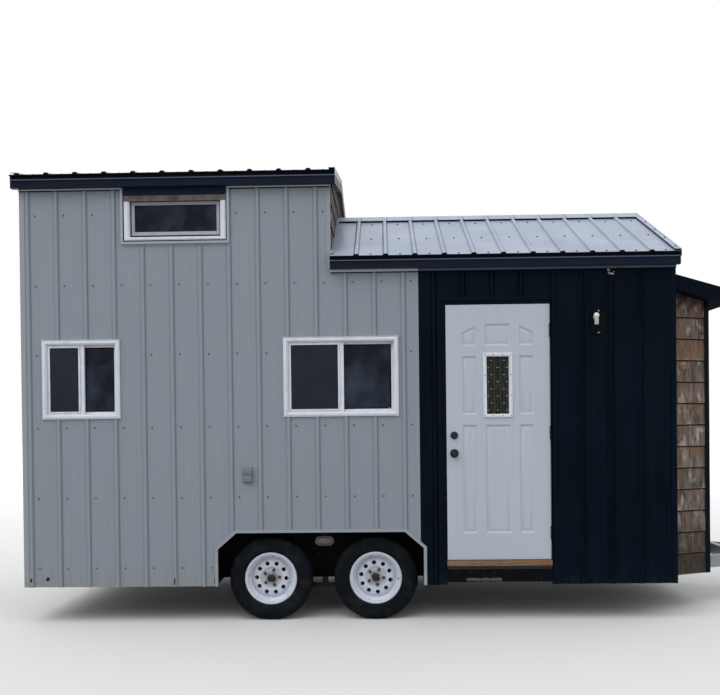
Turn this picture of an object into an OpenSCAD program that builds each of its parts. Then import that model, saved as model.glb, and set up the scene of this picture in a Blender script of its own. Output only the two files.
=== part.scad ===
// Tiny house on a tandem-axle trailer.
// X runs along the house towards the tongue, Y towards the back wall, Z up from the ground.
// The origin is on the ground in the middle of the whole footprint, tongue included.

/* [Body] */
// Length of the house body, without the nose over the tongue
body_l = 5160; // [5000:10:5600]
// Width of the body over the metal siding
body_w = 2440; // [2300:10:2600]
// Length of the tall section at the left end
tall_l = 2465; // [2440:5:2600]
// Full thickness of a wall, siding included
wall_t = 110; // [90:5:160]
// Height of the bottom edge of the siding
skirt_z = 285; // [250:5:300]
// Width of the black sheet between the grey siding and the door's trim
black_w = 144; // [110:1:180]

/* [Roofs] */
// Height of the tall roof deck at its eave
tall_eave_z = 3540; // [3500:10:3700]
// Height of the lower roof deck at its eave
lower_eave_z = 2872; // [2780:5:2950]
// Rise of the tall roof for each 12 of run
tall_pitch = 2; // [1:0.25:2.5]
// Rise of the lower roof for each 12 of run
lower_pitch = 5; // [4:0.25:5.5]
// Thickness of the roof decks
deck_t = 90; // [70:5:120]
// Overhang of the eaves beyond the siding
eave_over = 75; // [60:5:120]
// Overhang of the tall roof beyond its end walls
tall_over = 45; // [30:5:80]
// Overhang of the lower roof beyond the right end wall
lower_over = 22; // [18:1:60]

// Width of a ridge cap to each side of the ridge
cap_w = 150; // [120:5:200]
// Distance between a ridge line and the ends of the metal sheets
ridge_gap = 10; // [6:1:20]

/* [Metal sheet] */
// Thickness of the flat part of the ribbed sheet
sheet_t = 4; // [3:0.5:6]
// Distance between two ribs
rib_pitch = 228.6; // [200:0.1:250]
// Height of a rib above the flat sheet
rib_h = 15; // [10:1:20]
// Width of a rib at its foot
rib_foot = 46; // [36:1:60]
// Width of a rib at its crest
rib_crest = 20; // [12:1:30]
// Distance of the first siding rib from the left end
rib_first = 62; // [61:1:90]
// Distance of the first rib of the lower roof from the tall section
roof_rib_first = 205; // [150:1:230]
// Distance of the first rib on the black siding from the grey siding
black_rib_first = 119; // [70:1:120]
// Distance of the first rib to the right of the door from the seam beside the door
corner_rib_first = 212; // [180:1:230]
// Distance of the seam in the black siding from the door leaf
seam_off = 18; // [16:1:30]
// Width of the trim over that seam
seam_w = 22; // [18:1:30]

/* [Trim] */
// Thickness of the folded metal trim
trim_t = 3; // [2:0.5:5]
// Width of the corner trim
trim_w = 40; // [25:1:45]
// Width of the trim round the wheel opening
well_trim_w = 24; // [10:1:30]
// Width of the trim beside and over the door
casing_w = 29; // [24:1:34]
// Width of the flashing on the lower roof beside the tall wall
flashing_w = 24; // [16:1:60]
// Height of that flashing on the tall wall above the roof deck
flashing_h = 75; // [60:5:110]
// Thickness of the eave and rake boards
fascia_t = 14; // [10:1:20]
// Distance from a roof deck's top down to the lower edge of its eave board
fascia_h = 100; // [90:1:120]

/* [Shingles] */
// Height of one course of shingles
shingle_h = 177; // [120:1:200]
// Thickness of a shingle at its lower edge
shingle_t = 14; // [10:1:20]
// Thickness of a shingle where the next course covers it
shingle_top_t = 6; // [4:1:9]

/* [Floors] */
// Thickness of the floor deck on the trailer
floor_t = 60; // [40:5:90]
// Height of the underside of the loft floor
loft_z = 2350; // [2300:10:2450]
// Thickness of the loft floor
loft_t = 90; // [60:5:120]

/* [Windows] */
// Height of the top of the two sliding windows
win_top_z = 2246; // [2230:2:2280]
// Height of the two sliding windows
win_h = 626; // [560:2:640]
// Distance of the left window from the left end
left_win_x = 166; // [160:2:260]
// Width of the left window
left_win_w = 621; // [560:1:700]
// Distance of the right window from the left end
right_win_x = 2084; // [2000:2:2120]
// Width of the right window
right_win_w = 908; // [860:2:940]
// Distance of the loft window from the left end
loft_win_x = 836; // [700:2:1000]
// Width of the loft window
loft_win_w = 807; // [700:1:900]
// Height of the loft window
loft_win_h = 370; // [320:2:390]
// Height of the top of the loft window
loft_win_top_z = 3386; // [3370:2:3394]
// Width of the flange round a window
flange_w = 26; // [18:1:34]
// Distance that a window stands out from the flat siding
window_proud = 22; // [18:1:30]
// Width of a window's frame inside its flange
sash_w = 40; // [30:1:50]
// Width of the meeting stile between two panes
stile_w = 48; // [36:1:60]
// Width of the loft window's sash
loft_sash_w = 34; // [26:1:45]
// Depth of a window frame behind the flat siding
window_d = 84; // [70:1:90]
// Thickness of a sash
sash_t = 24; // [20:1:30]
// Thickness of the glass
glass_t = 6; // [4:1:12]

/* [Door] */
// Distance of the door leaf from the left end
door_x = 3365; // [3350:1:3500]
// Width of the door leaf
door_w = 813; // [700:1:860]
// Height of the door leaf
door_h = 2007; // [1900:1:2040]
// Thickness of the door leaf
door_t = 44; // [38:1:50]
// Clearance over, under and on the hinge side of the door leaf
door_gap = 5; // [5:0.5:7]
// Clearance on the latch side of the door leaf
latch_gap = 7; // [7:0.5:9]
// Thickness of the jambs and the head
jamb_t = 32; // [25:1:40]
// Distance of the door's face behind the flat siding
door_recess = 8; // [4:1:12]
// Thickness of the sill above the floor deck
sill_t = 9; // [6:1:15]
// Height of the sill's front edge
sill_h = 40; // [34:1:50]
// Distance that the sill stands out from the flat siding
sill_out = 22; // [10:1:40]
// Radius of the hinge pins
pin_r = 3; // [2.5:0.5:4]
// Running clearance round the hinge pins
pin_fit = 0.1; // [0.05:0.01:0.1]
// Radius of the hinge barrels
barrel_r = 7; // [6:0.5:8]
// Height of a hinge
hinge_h = 102; // [80:1:120]
// Height of the lowest hinge above the foot of the leaf
hinge_low = 210; // [180:5:240]
// Height of the middle hinge above the foot of the leaf
hinge_mid = 995; // [900:5:1020]
// Distance of the top hinge below the top of the leaf
hinge_top = 207; // [180:1:240]
// Thickness of a hinge leaf
leaf_t = 2; // [1.5:0.1:2.2]
// Distance of the knob and the lock from the latch edge
knob_x = 60; // [55:1:75]
// Height of the knob above the foot of the leaf
knob_z = 840; // [800:5:950]
// Height of the lock above the foot of the leaf
lock_z = 982; // [950:5:1100]
// Depth of the pressed panels
panel_d = 6; // [3:1:9]
// Distance of the outer panels from the sides of the leaf
door_margin = 125; // [100:1:140]
// Width of an outer panel
side_panel_w = 115; // [90:1:125]
// Width of a middle panel
mid_panel_w = 203; // [170:1:215]
// Distance of the lowest panels from the foot of the leaf
door_foot = 208; // [180:2:240]
// Height of the lowest panels
low_panel_h = 855; // [780:5:880]
// Distance between two rows of panels
door_rail = 79; // [60:1:85]
// Height of the panels beside the glass
mid_panel_h = 462; // [420:2:480]
// Height of a top panel at its outer side
arch_side_h = 106; // [90:1:115]
// Height of a top panel at its inner side
arch_inner_h = 164; // [140:1:170]
// Height of the middle top panel
arch_mid_h = 173; // [150:1:180]
// Width of the glazed part over its rim
lite_w = 232; // [200:1:240]
// Distance that its rim reaches over and under the panels beside it
lite_over = 24; // [10:1:30]
// Width of the rim round the glass
lite_rim = 29; // [22:1:34]

/* [Trailer] */
// Height of the top of the trailer frame
frame_top_z = 405; // [395:1:420]
// Depth of the trailer's rails
rail_h = 102; // [90:1:105]
// Width of the trailer's rails
rail_w = 50; // [40:1:60]
// Distance of the middle between the axles from the left end
axle_mid_x = 2376; // [2350:2:2400]
// Distance between the two axles
wheelbase = 838; // [800:2:850]
// Distance from the house body to the centre of the hitch ball
tongue_l = 1600; // [1500:10:1800]
// Angle between a tongue rail and the X axis
tongue_angle = 25; // [23:1:27]
// Radius of the ball socket in the coupler
socket_r = 29.6; // [25:0.1:31]
// Depth of the ball socket
socket_depth = 45; // [35:1:60]
// Height of the top of the jack's tube
jack_top_z = 860; // [700:10:950]
// Distance of the jack behind the centre of the hitch ball
jack_back = 330; // [300:5:380]
// Half the side of the jack's square foot
jack_foot = 75; // [60:5:100]

/* [Wheels] */
// Outer radius of a tyre
tyre_r = 330; // [325:1:345]
// Width of a tyre
tyre_w = 205; // [185:1:215]
// Distance of a tyre's outer face behind the flat siding
tyre_inset = 60; // [40:1:80]
// Outer radius of a rim
rim_r = 208; // [195:1:215]
// Half the length of the wheel opening at its foot
well_half = 814; // [810:1:860]
// Distance of the opening's middle to the right of the middle between the axles
well_shift = -14; // [-20:1:5]
// Height of the top of the wheel opening
well_top_z = 706; // [700:1:730]
// Length of the sloping corners of the wheel opening
well_cut_x = 148; // [100:1:160]
// Height of the sloping corners of the wheel opening
well_cut_z = 128; // [100:1:140]
// Number of round holes in a wheel disc
disc_holes = 10; // [8:1:12]
// Radius of a round hole in a wheel disc
disc_hole_r = 17; // [12:1:18]
// Radius of the ring of holes
disc_ring_r = 119; // [110:1:125]
// Number of wheel nuts
lug_count = 5; // [5:1:6]
// Radius of the ring of wheel nuts
lug_ring_r = 62; // [54:0.5:64]

/* [Nose] */
// Length of the nose over the tongue
nose_l = 425; // [380:5:520]
// Distance of the nose's side wall behind the front siding, at the body
nose_set = 325; // [300:5:400]
// Thickness of the nose walls, shingles included
nose_wall_t = 90; // [70:5:110]
// Height of the nose roof's top where it meets the body
nose_top_z = 2740; // [2700:5:2800]
// Thickness of the nose roof
nose_roof_t = 118; // [80:1:120]
// Overhang of the nose roof
nose_over = 150; // [100:5:160]
// Fall of the nose roof for each 12 of run
nose_pitch = 2.25; // [1:0.25:3]

/* [Fittings] */
// Distance of the wall lamp to the right of the middle of the flat sheet that carries it
lamp_shift = 15; // [0:1:15]
// Height of the wall lamp's centre
lamp_z = 2336; // [2200:2:2400]
// Width of the wall lamp's plate
lamp_w = 120; // [100:2:130]
// Height of the wall lamp's plate
lamp_h = 220; // [180:2:240]
// Place of the outlet box's left side, from the left end of the house
outlet_x = 1754; // [1700:1:1780]
// Width of the outlet box
outlet_w = 78; // [70:1:85]
// Height of the outlet box's foot
outlet_z = 1101; // [1000:1:1300]
// Height of the outlet box
outlet_h = 127; // [110:1:140]
// Width of a marker lamp
marker_w = 148; // [120:2:150]
// Height of a marker lamp
marker_h = 71; // [50:1:80]

/* [Hidden] */
$fn = 48;
half_w = body_w / 2;
core_y = half_w - sheet_t;
inner_y = half_w - wall_t;
core_t = wall_t - sheet_t;
floor_z = frame_top_z + floor_t;
right_core_x = body_l - shingle_t;
eave_y = half_w + eave_over;
deck_y = eave_y - fascia_t;
tall_slope = tall_pitch / 12;
lower_slope = lower_pitch / 12;
tall_angle = atan(tall_slope);
lower_angle = atan(lower_slope);
far = 10000;
eps = 1;

sill_top_z = floor_z + sill_t;
door_z = sill_top_z + door_gap;
door_face_y = half_w - door_recess;
opening_x0 = door_x - latch_gap - jamb_t;
opening_x1 = door_x + door_w + door_gap + jamb_t;
grey_l = opening_x0 - casing_w - black_w;
seam_x = door_x + door_w + seam_off;
black_rib_x = grey_l + black_rib_first;
corner_rib_x = seam_x + seam_w + corner_rib_first;
// The flat stretch of sheet that carries the lamp, from the rib to the next rib or the corner trim
lamp_flat_x0 = corner_rib_x + rib_foot / 2;
lamp_flat_x1 = min(corner_rib_x + rib_pitch - rib_foot / 2, body_l - trim_w);
lamp_x = (lamp_flat_x0 + lamp_flat_x1) / 2 + lamp_shift;
opening_z1 = door_z + door_h + door_gap + jamb_t;
pin_x = door_x + door_w + door_gap / 2;
sill_x0 = door_x - 4;
sill_x1 = door_x + door_w + 4;
barrel_off = 1;
pin_y = -door_face_y - barrel_r - barrel_off;
hinge_zs = [door_z + hinge_low, door_z + hinge_mid, door_z + door_h - hinge_top];

win_bottom_z = win_top_z - win_h;
// Outer faces of the front sash and of the sash behind it, from the middle of the house
sash_y0 = half_w - 2;
sash_y1 = sash_y0 - sash_t - 2;
loft_sash_y = half_w - 22;
loft_win_bottom_z = loft_win_top_z - loft_win_h;
win_list = [
    [left_win_x, left_win_w, win_bottom_z, win_h, 2],
    [right_win_x, right_win_w, win_bottom_z, win_h, 2],
    [loft_win_x, loft_win_w, loft_win_bottom_z, loft_win_h, 1]
];
// Thickness of a window frame inside its flange: sliding windows, loft window
liner_t = 12;
loft_liner_t = 18;

axle_xs = [axle_mid_x - wheelbase / 2, axle_mid_x + wheelbase / 2];
well_x = axle_mid_x + well_shift;
tyre_y = half_w - tyre_inset - tyre_w / 2;
well_inner_y = half_w - tyre_inset - tyre_w - 50;
well_t = 4;
rail_y = well_inner_y - well_t - rail_w;
beam_z = tyre_r - 105;
beam_r = 30;
spring_w = 45;
spring_gap = 99;
drum_w = 52;
drum_r = 128;
left_turn = 2;
right_turn = 83;
spindle_r = 19;

ball_x = body_l + tongue_l;
coupler_tip = 62;
mid_x = (ball_x + coupler_tip - tall_over) / 2;
rail_z = frame_top_z - rail_h;
rail_off = rail_w / 2 / cos(tongue_angle);
rail_end_x = ball_x - 95;
jack_x = ball_x - jack_back;
nose_y0 = half_w - nose_set;
nose_x1 = body_l + nose_l;
nose_slope = nose_pitch / 12;

// Heights at which the siding ends under the two eaves
tall_siding_z = tall_eave_z - fascia_h + 12;
lower_siding_z = lower_eave_z - fascia_h + 3;
rib_edge = 45;
crest_y = half_w + rib_h;
trim_y = half_w + trim_t;

steel_black = "#15191d";
silver_grey = "#b9bfc6";
siding_grey = "#878e94";
siding_black = "#131a21";
timber = "#b8925f";
plywood = "#c2a273";
cedar = "#7a5a3e";
roof_grey = "#b0b6be";
vinyl_white = "#d8dbdf";
glass_tint = "#5d6a70";
door_grey = "#b5bcc4";
brass_tone = "#8d8478";
rubber_black = "#1b1e20";
rim_white = "#d5d9e0";
rust = "#54443a";

// Moves the house so that the origin lies under the middle of the footprint
module place() {
    translate([-mid_x, 0, 0]) children();
}

// A copy on the front and one mirrored to the back
module both_sides() {
    children();
    mirror([0, 1, 0]) children();
}

// A solid with an outline in Y and Z, from x0 to x1
module along_x(x0, x1, outline) {
    translate([x0, 0, 0]) rotate([90, 0, 90]) linear_extrude(height = x1 - x0) polygon(outline);
}

// A solid with an outline in X and Z, from y0 to y1
module along_y(y0, y1, outline) {
    translate([0, y1, 0]) rotate([90, 0, 0]) linear_extrude(height = y1 - y0) polygon(outline);
}

// A block between two corners
module block(low, high) {
    translate(low) cube(high - low);
}

// Height of a roof deck's top, and of its underside, at a distance y from the ridge line
function deck_top(y, eave_z, slope) = eave_z + (eave_y - abs(y)) * slope;
function deck_under(y, eave_z, slope) = deck_top(y, eave_z, slope) - deck_t / cos(atan(slope));

// Outline of a gable band between two lines that lie lift0 and lift1 above the deck's top
function gable_band(y, eave_z, slope, lift0, lift1) = [
    [-y, deck_top(y, eave_z, slope) + lift0],
    [0, deck_top(0, eave_z, slope) + lift0],
    [y, deck_top(y, eave_z, slope) + lift0],
    [y, deck_top(y, eave_z, slope) + lift1],
    [0, deck_top(0, eave_z, slope) + lift1],
    [-y, deck_top(y, eave_z, slope) + lift1]
];

// Everything above the underside of a roof deck, from x0 to x1
module above_deck(x0, x1, eave_z, slope) {
    under = -deck_t / cos(atan(slope));
    along_x(x0, x1, gable_band(deck_y, eave_z, slope, under, far));
}

module above_roofs() {
    above_deck(-far, tall_l, tall_eave_z, tall_slope);
    above_deck(tall_l, far, lower_eave_z, lower_slope);
}

// Outline of the wheel opening, made larger all round by grow
function well_outline(grow) = [
    [well_x - well_half - grow, skirt_z - far],
    [well_x - well_half - grow, well_top_z - well_cut_z + grow * 0.4],
    [well_x - well_half + well_cut_x - grow * 0.4, well_top_z + grow],
    [well_x + well_half - well_cut_x + grow * 0.4, well_top_z + grow],
    [well_x + well_half + grow, well_top_z - well_cut_z + grow * 0.4],
    [well_x + well_half + grow, skirt_z - far]
];

// Ribbed metal sheet lying flat: X across the ribs, Y along them, ribs towards +Z
function rib_centres(len, first) =
    [for (c = [first : rib_pitch : len - rib_foot / 2 - rib_edge]) c];
function rib_profile(c) = [
    [c + rib_foot / 2, sheet_t],
    [c + rib_crest / 2, sheet_t + rib_h],
    [c - rib_crest / 2, sheet_t + rib_h],
    [c - rib_foot / 2, sheet_t]
];
module ribbed_sheet(len, run, first) {
    cs = rib_centres(len, first);
    n = len(cs);
    ribs = [for (i = [n - 1 : -1 : 0]) each rib_profile(cs[i])];
    outline = concat([[0, 0], [len, 0], [len, sheet_t]], ribs, [[0, sheet_t]]);
    translate([0, run, 0]) rotate([90, 0, 0]) linear_extrude(height = run) polygon(outline);
}

// Siding on the front wall from x0 to x1, from the skirt up to z1, with a rib at rib_x
module front_sheet(x0, x1, z1, rib_x) {
    steps = ceil((x0 + rib_foot / 2 + eps - rib_x) / rib_pitch);
    first = rib_x + steps * rib_pitch - x0;
    translate([x0, -core_y, skirt_z]) rotate([90, 0, 0]) ribbed_sheet(x1 - x0, z1 - skirt_z, first);
}

// Room for the body of a window through wall and sheet, and for its flange on the ribs
module window_cut(w) {
    block([w[0] + flange_w, -half_w - far, w[2] + flange_w],
          [w[0] + w[1] - flange_w, -inner_y + eps, w[2] + w[3] - flange_w]);
}
module flange_cut(w) {
    block([w[0] - trim_t, -half_w - far, w[2] - trim_t],
          [w[0] + w[1] + trim_t, -half_w, w[2] + w[3] + trim_t]);
}

module front_window_cuts() {
    for (w = win_list) window_cut(w);
}

module trailer_frame() place() color(steel_black) {
    well0 = well_x - well_half - well_t;
    well1 = well_x + well_half + well_t;
    web = 8;
    cross_n = 5;
    difference() {
        union() {
            both_sides() {
                block([sheet_t, -core_y, rail_z], [well0, -core_y + rail_w, frame_top_z]);
                block([well1, -core_y, rail_z], [right_core_x, -core_y + rail_w, frame_top_z]);
                block([sheet_t, -rail_y - rail_w, rail_z], [right_core_x, -rail_y, frame_top_z]);
            }
            for (x = [sheet_t, well0 - rail_w, well1, right_core_x - rail_w])
                block([x, -core_y, rail_z], [x + rail_w, core_y, frame_top_z]);
            for (i = [1 : cross_n - 1])
                block([i * body_l / cross_n - rail_w / 2, -rail_y - eps, rail_z],
                      [i * body_l / cross_n + rail_w / 2, rail_y + eps, frame_top_z]);
        }
        both_sides()
            block([well0, -rail_y - rail_w - eps, rail_z + web],
                  [well1, -rail_y - web, frame_top_z - web]);
    }
}

// Distance of a tongue rail's centre line from the middle, at a place along the tongue
function tongue_y(x) = (ball_x - x) * tan(tongue_angle);

// Outline in plan of the front tongue rail between two places along the tongue
function tongue_strip(x0, x1) = [
    [x0, -tongue_y(x0) - rail_off], [x1, -tongue_y(x1) - rail_off],
    [x1, -tongue_y(x1) + rail_off], [x0, -tongue_y(x0) + rail_off]
];

// Outline in plan of the area between the tongue rails' outer sides, made smaller by inset
function tongue_area(x0, x1, inset) = [
    [x0 + inset, -tongue_y(x0 + inset) - rail_off + inset],
    [x1 - inset, -tongue_y(x1 - inset) - rail_off + inset],
    [x1 - inset, tongue_y(x1 - inset) + rail_off - inset],
    [x0 + inset, tongue_y(x0 + inset) + rail_off - inset]
];

module tongue_frame() place() color(silver_grey) {
    brace_x = nose_x1 + 330;
    both_sides()
        translate([0, 0, rail_z]) linear_extrude(height = rail_h)
            polygon(tongue_strip(right_core_x, rail_end_x));
    translate([0, 0, rail_z]) linear_extrude(height = rail_h)
        polygon([[brace_x, -tongue_y(brace_x)], [brace_x + rail_w, -tongue_y(brace_x + rail_w)],
                 [brace_x + rail_w, tongue_y(brace_x + rail_w)], [brace_x, tongue_y(brace_x)]]);
}

module hitch_coupler() place() color(steel_black) {
    back_y = tongue_y(rail_end_x) + rail_off;
    plate_t = 8;
    plate_back = 230;
    plate_x = ball_x - plate_back;
    pad = 24;
    lever_l = 130;
    difference() {
        translate([0, 0, rail_z]) linear_extrude(height = rail_h) union() {
            translate([ball_x, 0]) circle(r = coupler_tip);
            polygon([[rail_end_x, -back_y], [ball_x, -coupler_tip],
                     [ball_x, coupler_tip], [rail_end_x, back_y]]);
        }
        translate([ball_x, 0, rail_z - eps]) cylinder(r = socket_r, h = socket_depth + eps);
    }
    translate([0, 0, frame_top_z]) {
        linear_extrude(height = plate_t)
            polygon([[plate_x, -tongue_y(plate_x) - rail_off], [ball_x, -coupler_tip + pad],
                     [ball_x, coupler_tip - pad], [plate_x, tongue_y(plate_x) + rail_off]]);
        block([ball_x - 50, -14, 0], [ball_x + 30, 14, plate_t + 26]);
        translate([ball_x + 10, 0, plate_t + 20]) rotate([0, -70, 0]) cylinder(r = 8, h = lever_l);
    }
}

module tongue_jack() place() color(silver_grey) {
    foot_t = 8;
    tube_r = 32;
    ram_r = 24;
    ram_h = 190;
    tube_z = 150;
    plate = 70;
    head_h = 34;
    crank = 150;
    handle_l = 105;
    translate([jack_x - jack_foot, -jack_foot, 0]) cube([2 * jack_foot, 2 * jack_foot, foot_t]);
    translate([jack_x, 0, foot_t - eps]) cylinder(r = ram_r, h = ram_h);
    translate([jack_x, 0, tube_z]) cylinder(r = tube_r, h = jack_top_z - tube_z);
    translate([0, 0, frame_top_z])
        linear_extrude(height = 10) polygon(tongue_area(jack_x - plate, jack_x + plate, 0));
    translate([jack_x, 0, jack_top_z - eps]) {
        cylinder(r = tube_r + 8, h = head_h);
        translate([0, 0, head_h / 2]) rotate([90, 0, 0]) cylinder(r = 9, h = crank);
        translate([0, -crank, head_h / 2 - 15]) cylinder(r = 12, h = handle_l);
    }
}

module leaf_springs() place() color(steel_black) {
    half_span = wheelbase / 2 - spring_gap;
    seat_z = beam_z - beam_r;
    seat = 46;
    leaf = 12;
    sag = 50;
    arc_r = (half_span * half_span + sag * sag) / (2 * sag);
    eye_z = seat_z - leaf + sag;
    eye_r = 22;
    hanger = 24;
    y0 = -(rail_y + rail_w / 2) - spring_w / 2;
    y1 = y0 + spring_w;
    both_sides() {
        for (x = axle_xs) {
            difference() {
                intersection() {
                    translate([x, y1, eye_z - sag + arc_r]) rotate([90, 0, 0])
                        linear_extrude(height = spring_w) difference() {
                            circle(r = arc_r + leaf);
                            circle(r = arc_r - leaf);
                        }
                    block([x - half_span, y0 - eps, 0], [x + half_span, y1 + eps, eye_z + eye_r]);
                }
                block([x - seat, y0 - eps, seat_z], [x + seat, y1 + eps, far]);
            }
            block([x - seat + eps, y0, seat_z - leaf], [x + seat - eps, y1, seat_z]);
            for (s = [-1, 1])
                translate([x + s * half_span, y1, eye_z]) rotate([90, 0, 0])
                    cylinder(r = eye_r, h = spring_w);
        }
        for (x = [axle_xs[0] - half_span, axle_xs[1] + half_span])
            block([x - hanger, y0, eye_z], [x + hanger, y1, rail_z]);
        block([axle_xs[0] + half_span, y0, eye_z - 16], [axle_xs[1] - half_span, y1, eye_z + 16]);
        block([axle_mid_x - hanger, y0, eye_z], [axle_mid_x + hanger, y1, rail_z]);
    }
}

module axles() place() color(steel_black) {
    seat = 45;
    arm_t = 20;
    arm_w = 32;
    plate_z = -58;
    for (x = axle_xs) {
        both_sides() {
            translate([x, eps, beam_z]) rotate([90, 0, 0])
                cylinder(r = beam_r, h = well_inner_y + arm_t / 2);
            block([x - seat, -rail_y - rail_w, beam_z - beam_r], [x + seat, -rail_y, beam_z]);
            block([x - arm_w, -well_inner_y - arm_t, beam_z - beam_r - 3],
                  [x + arm_w, -well_inner_y, tyre_r + arm_w]);
            translate([x, -well_inner_y, tyre_r]) rotate([90, 0, 0])
                cylinder(r = spindle_r, h = tyre_y + 36 - well_inner_y);
            translate([x, -tyre_y - plate_z, tyre_r]) rotate([90, 0, 0]) cylinder(r = drum_r - 4, h = 6);
            translate([x, -well_inner_y, tyre_r]) rotate([90, 0, 0])
                cylinder(r = 30, h = tyre_y + plate_z - well_inner_y + eps);
        }
    }
}

module wheel_wells() place() color(steel_black)
    both_sides() intersection() {
        difference() {
            along_y(-core_y, -well_inner_y + well_t, well_outline(well_t));
            along_y(-core_y - eps, -well_inner_y, well_outline(0));
        }
        block([0, -half_w, frame_top_z], [body_l, 0, far]);
    }

// Half the nose's width at a place along the house, for walls made thinner by inset
function nose_y(x, inset) = nose_y0 - (x - body_l) * tan(tongue_angle) - inset / cos(tongue_angle);

// The nose in plan from x0 outwards, made smaller all round by inset
function nose_plan(x0, inset) = [
    [x0, -nose_y(x0, inset)],
    [nose_x1 - inset, -nose_y(nose_x1 - inset, inset)],
    [nose_x1 - inset, nose_y(nose_x1 - inset, inset)],
    [x0, nose_y(x0, inset)]
];

// Everything above the nose roof's top lowered by drop
module above_nose(drop) {
    z = nose_top_z - drop;
    along_y(-far, far, [
        [body_l - far, z + far * nose_slope], [body_l + far, z - far * nose_slope],
        [body_l + far, 2 * far], [body_l - far, 2 * far]
    ]);
}

// Room for the tongue rails where they leave the nose
module tongue_notches()
    both_sides() translate([0, 0, -far]) linear_extrude(height = far + frame_top_z)
        polygon(tongue_strip(right_core_x, rail_end_x));

module floor_deck() place() color(plywood)
    difference() {
        union() {
            block([sheet_t, -core_y, frame_top_z], [right_core_x, core_y, floor_z]);
            translate([0, 0, frame_top_z]) linear_extrude(height = floor_t)
                polygon(nose_plan(right_core_x - eps, nose_wall_t));
        }
        both_sides() along_y(-core_y - eps, -well_inner_y + well_t, well_outline(well_t));
    }

module loft_floor() place() color(plywood)
    block([wall_t, -inner_y, loft_z], [tall_l, inner_y, loft_z + loft_t]);

// A stretch of the front wall's framing from x0 to x1, before windows are cut
module long_wall(x0, x1, z0)
    difference() {
        block([x0, -core_y, z0], [x1, -inner_y, tall_eave_z + body_w]);
        above_roofs();
        along_y(-half_w - eps, -inner_y + eps, well_outline(well_t));
    }

module front_wall() place() color(timber)
    difference() {
        long_wall(sheet_t, opening_x0, floor_z);
        front_window_cuts();
    }

module front_wall_over_door() place() color(timber)
    long_wall(opening_x0, opening_x1, opening_z1);

module front_wall_corner() place() color(timber)
    long_wall(opening_x1, right_core_x, floor_z);

module back_wall() place() color(timber)
    mirror([0, 1, 0]) difference() {
        long_wall(sheet_t, right_core_x, floor_z);
        front_window_cuts();
    }

// A wall across the house from x0 to x1
module cross_wall(x0, x1, z0)
    difference() {
        block([x0, -inner_y, z0], [x1, inner_y, tall_eave_z + body_w]);
        above_roofs();
    }

module left_end_wall() place() color(timber)
    cross_wall(sheet_t, wall_t, floor_z);

module right_end_wall() place() color(timber)
    cross_wall(body_l - wall_t, right_core_x, floor_z);

module tall_side_wall() place() color(timber)
    intersection() {
        cross_wall(tall_l - wall_t, tall_l, floor_z);
        above_deck(-far, far, lower_eave_z, lower_slope);
    }

module nose_walls() place() color(timber)
    difference() {
        translate([0, 0, skirt_z]) linear_extrude(height = far)
            polygon(nose_plan(right_core_x, shingle_t));
        linear_extrude(height = 2 * far) polygon(nose_plan(right_core_x - eps, nose_wall_t));
        above_nose(nose_roof_t);
        tongue_notches();
    }

module nose_roof() place() color(steel_black)
    intersection() {
        difference() {
            linear_extrude(height = far) polygon(nose_plan(body_l, -nose_over));
            above_nose(0);
        }
        above_nose(nose_roof_t);
    }

// Cuts in the siding of a long side for windows and the wheel opening, with room for their trim
module siding_cuts() {
    front_window_cuts();
    for (w = win_list) flange_cut(w);
    block([loft_win_x - 24, -far, loft_win_bottom_z - 41], [loft_win_x + loft_win_w + 46, -half_w, far]);
    along_y(-half_w - eps, 0, well_outline(0));
    along_y(-far, -half_w, well_outline(well_trim_w));
    block([tall_l, -far, lower_siding_z], [far, 0, far]);
}

module grey_siding() place() color(siding_grey) {
    lap = sheet_t / 2;
    both_sides() difference() {
        front_sheet(0, grey_l, tall_siding_z, rib_first);
        siding_cuts();
    }
    difference() {
        translate([sheet_t, core_y + lap, skirt_z]) rotate([90, 0, -90])
            ribbed_sheet(2 * (core_y + lap), tall_eave_z + half_w - skirt_z, rib_first + lap);
        above_roofs();
    }
}

module black_siding() place() color(siding_black) {
    difference() {
        front_sheet(grey_l, seam_x, lower_siding_z, black_rib_x);
        siding_cuts();
        block([opening_x0, -far, 0], [seam_x + eps, 0, opening_z1]);
        block([opening_x0, -far, 0], [seam_x + eps, -half_w, opening_z1 + trim_w]);
    }
    front_sheet(seam_x + seam_w, body_l, lower_siding_z, corner_rib_x);
    mirror([0, 1, 0]) difference() {
        front_sheet(grey_l, body_l, lower_siding_z, black_rib_x);
        siding_cuts();
    }
}

// Courses of shingles as one stepped skin: X out of the wall, Y along it, Z up
module shingle_skin(y0, y1, z0, z1) {
    n = ceil((z1 - z0) / shingle_h);
    steps = [
        for (i = [0 : n - 1])
            each [[shingle_t, z0 + i * shingle_h], [shingle_top_t, z0 + (i + 1) * shingle_h]]
    ];
    outline = concat([[0, z0]], steps, [[0, z0 + n * shingle_h]]);
    translate([0, y1, 0]) rotate([90, 0, 0]) linear_extrude(height = y1 - y0) polygon(outline);
}

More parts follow.
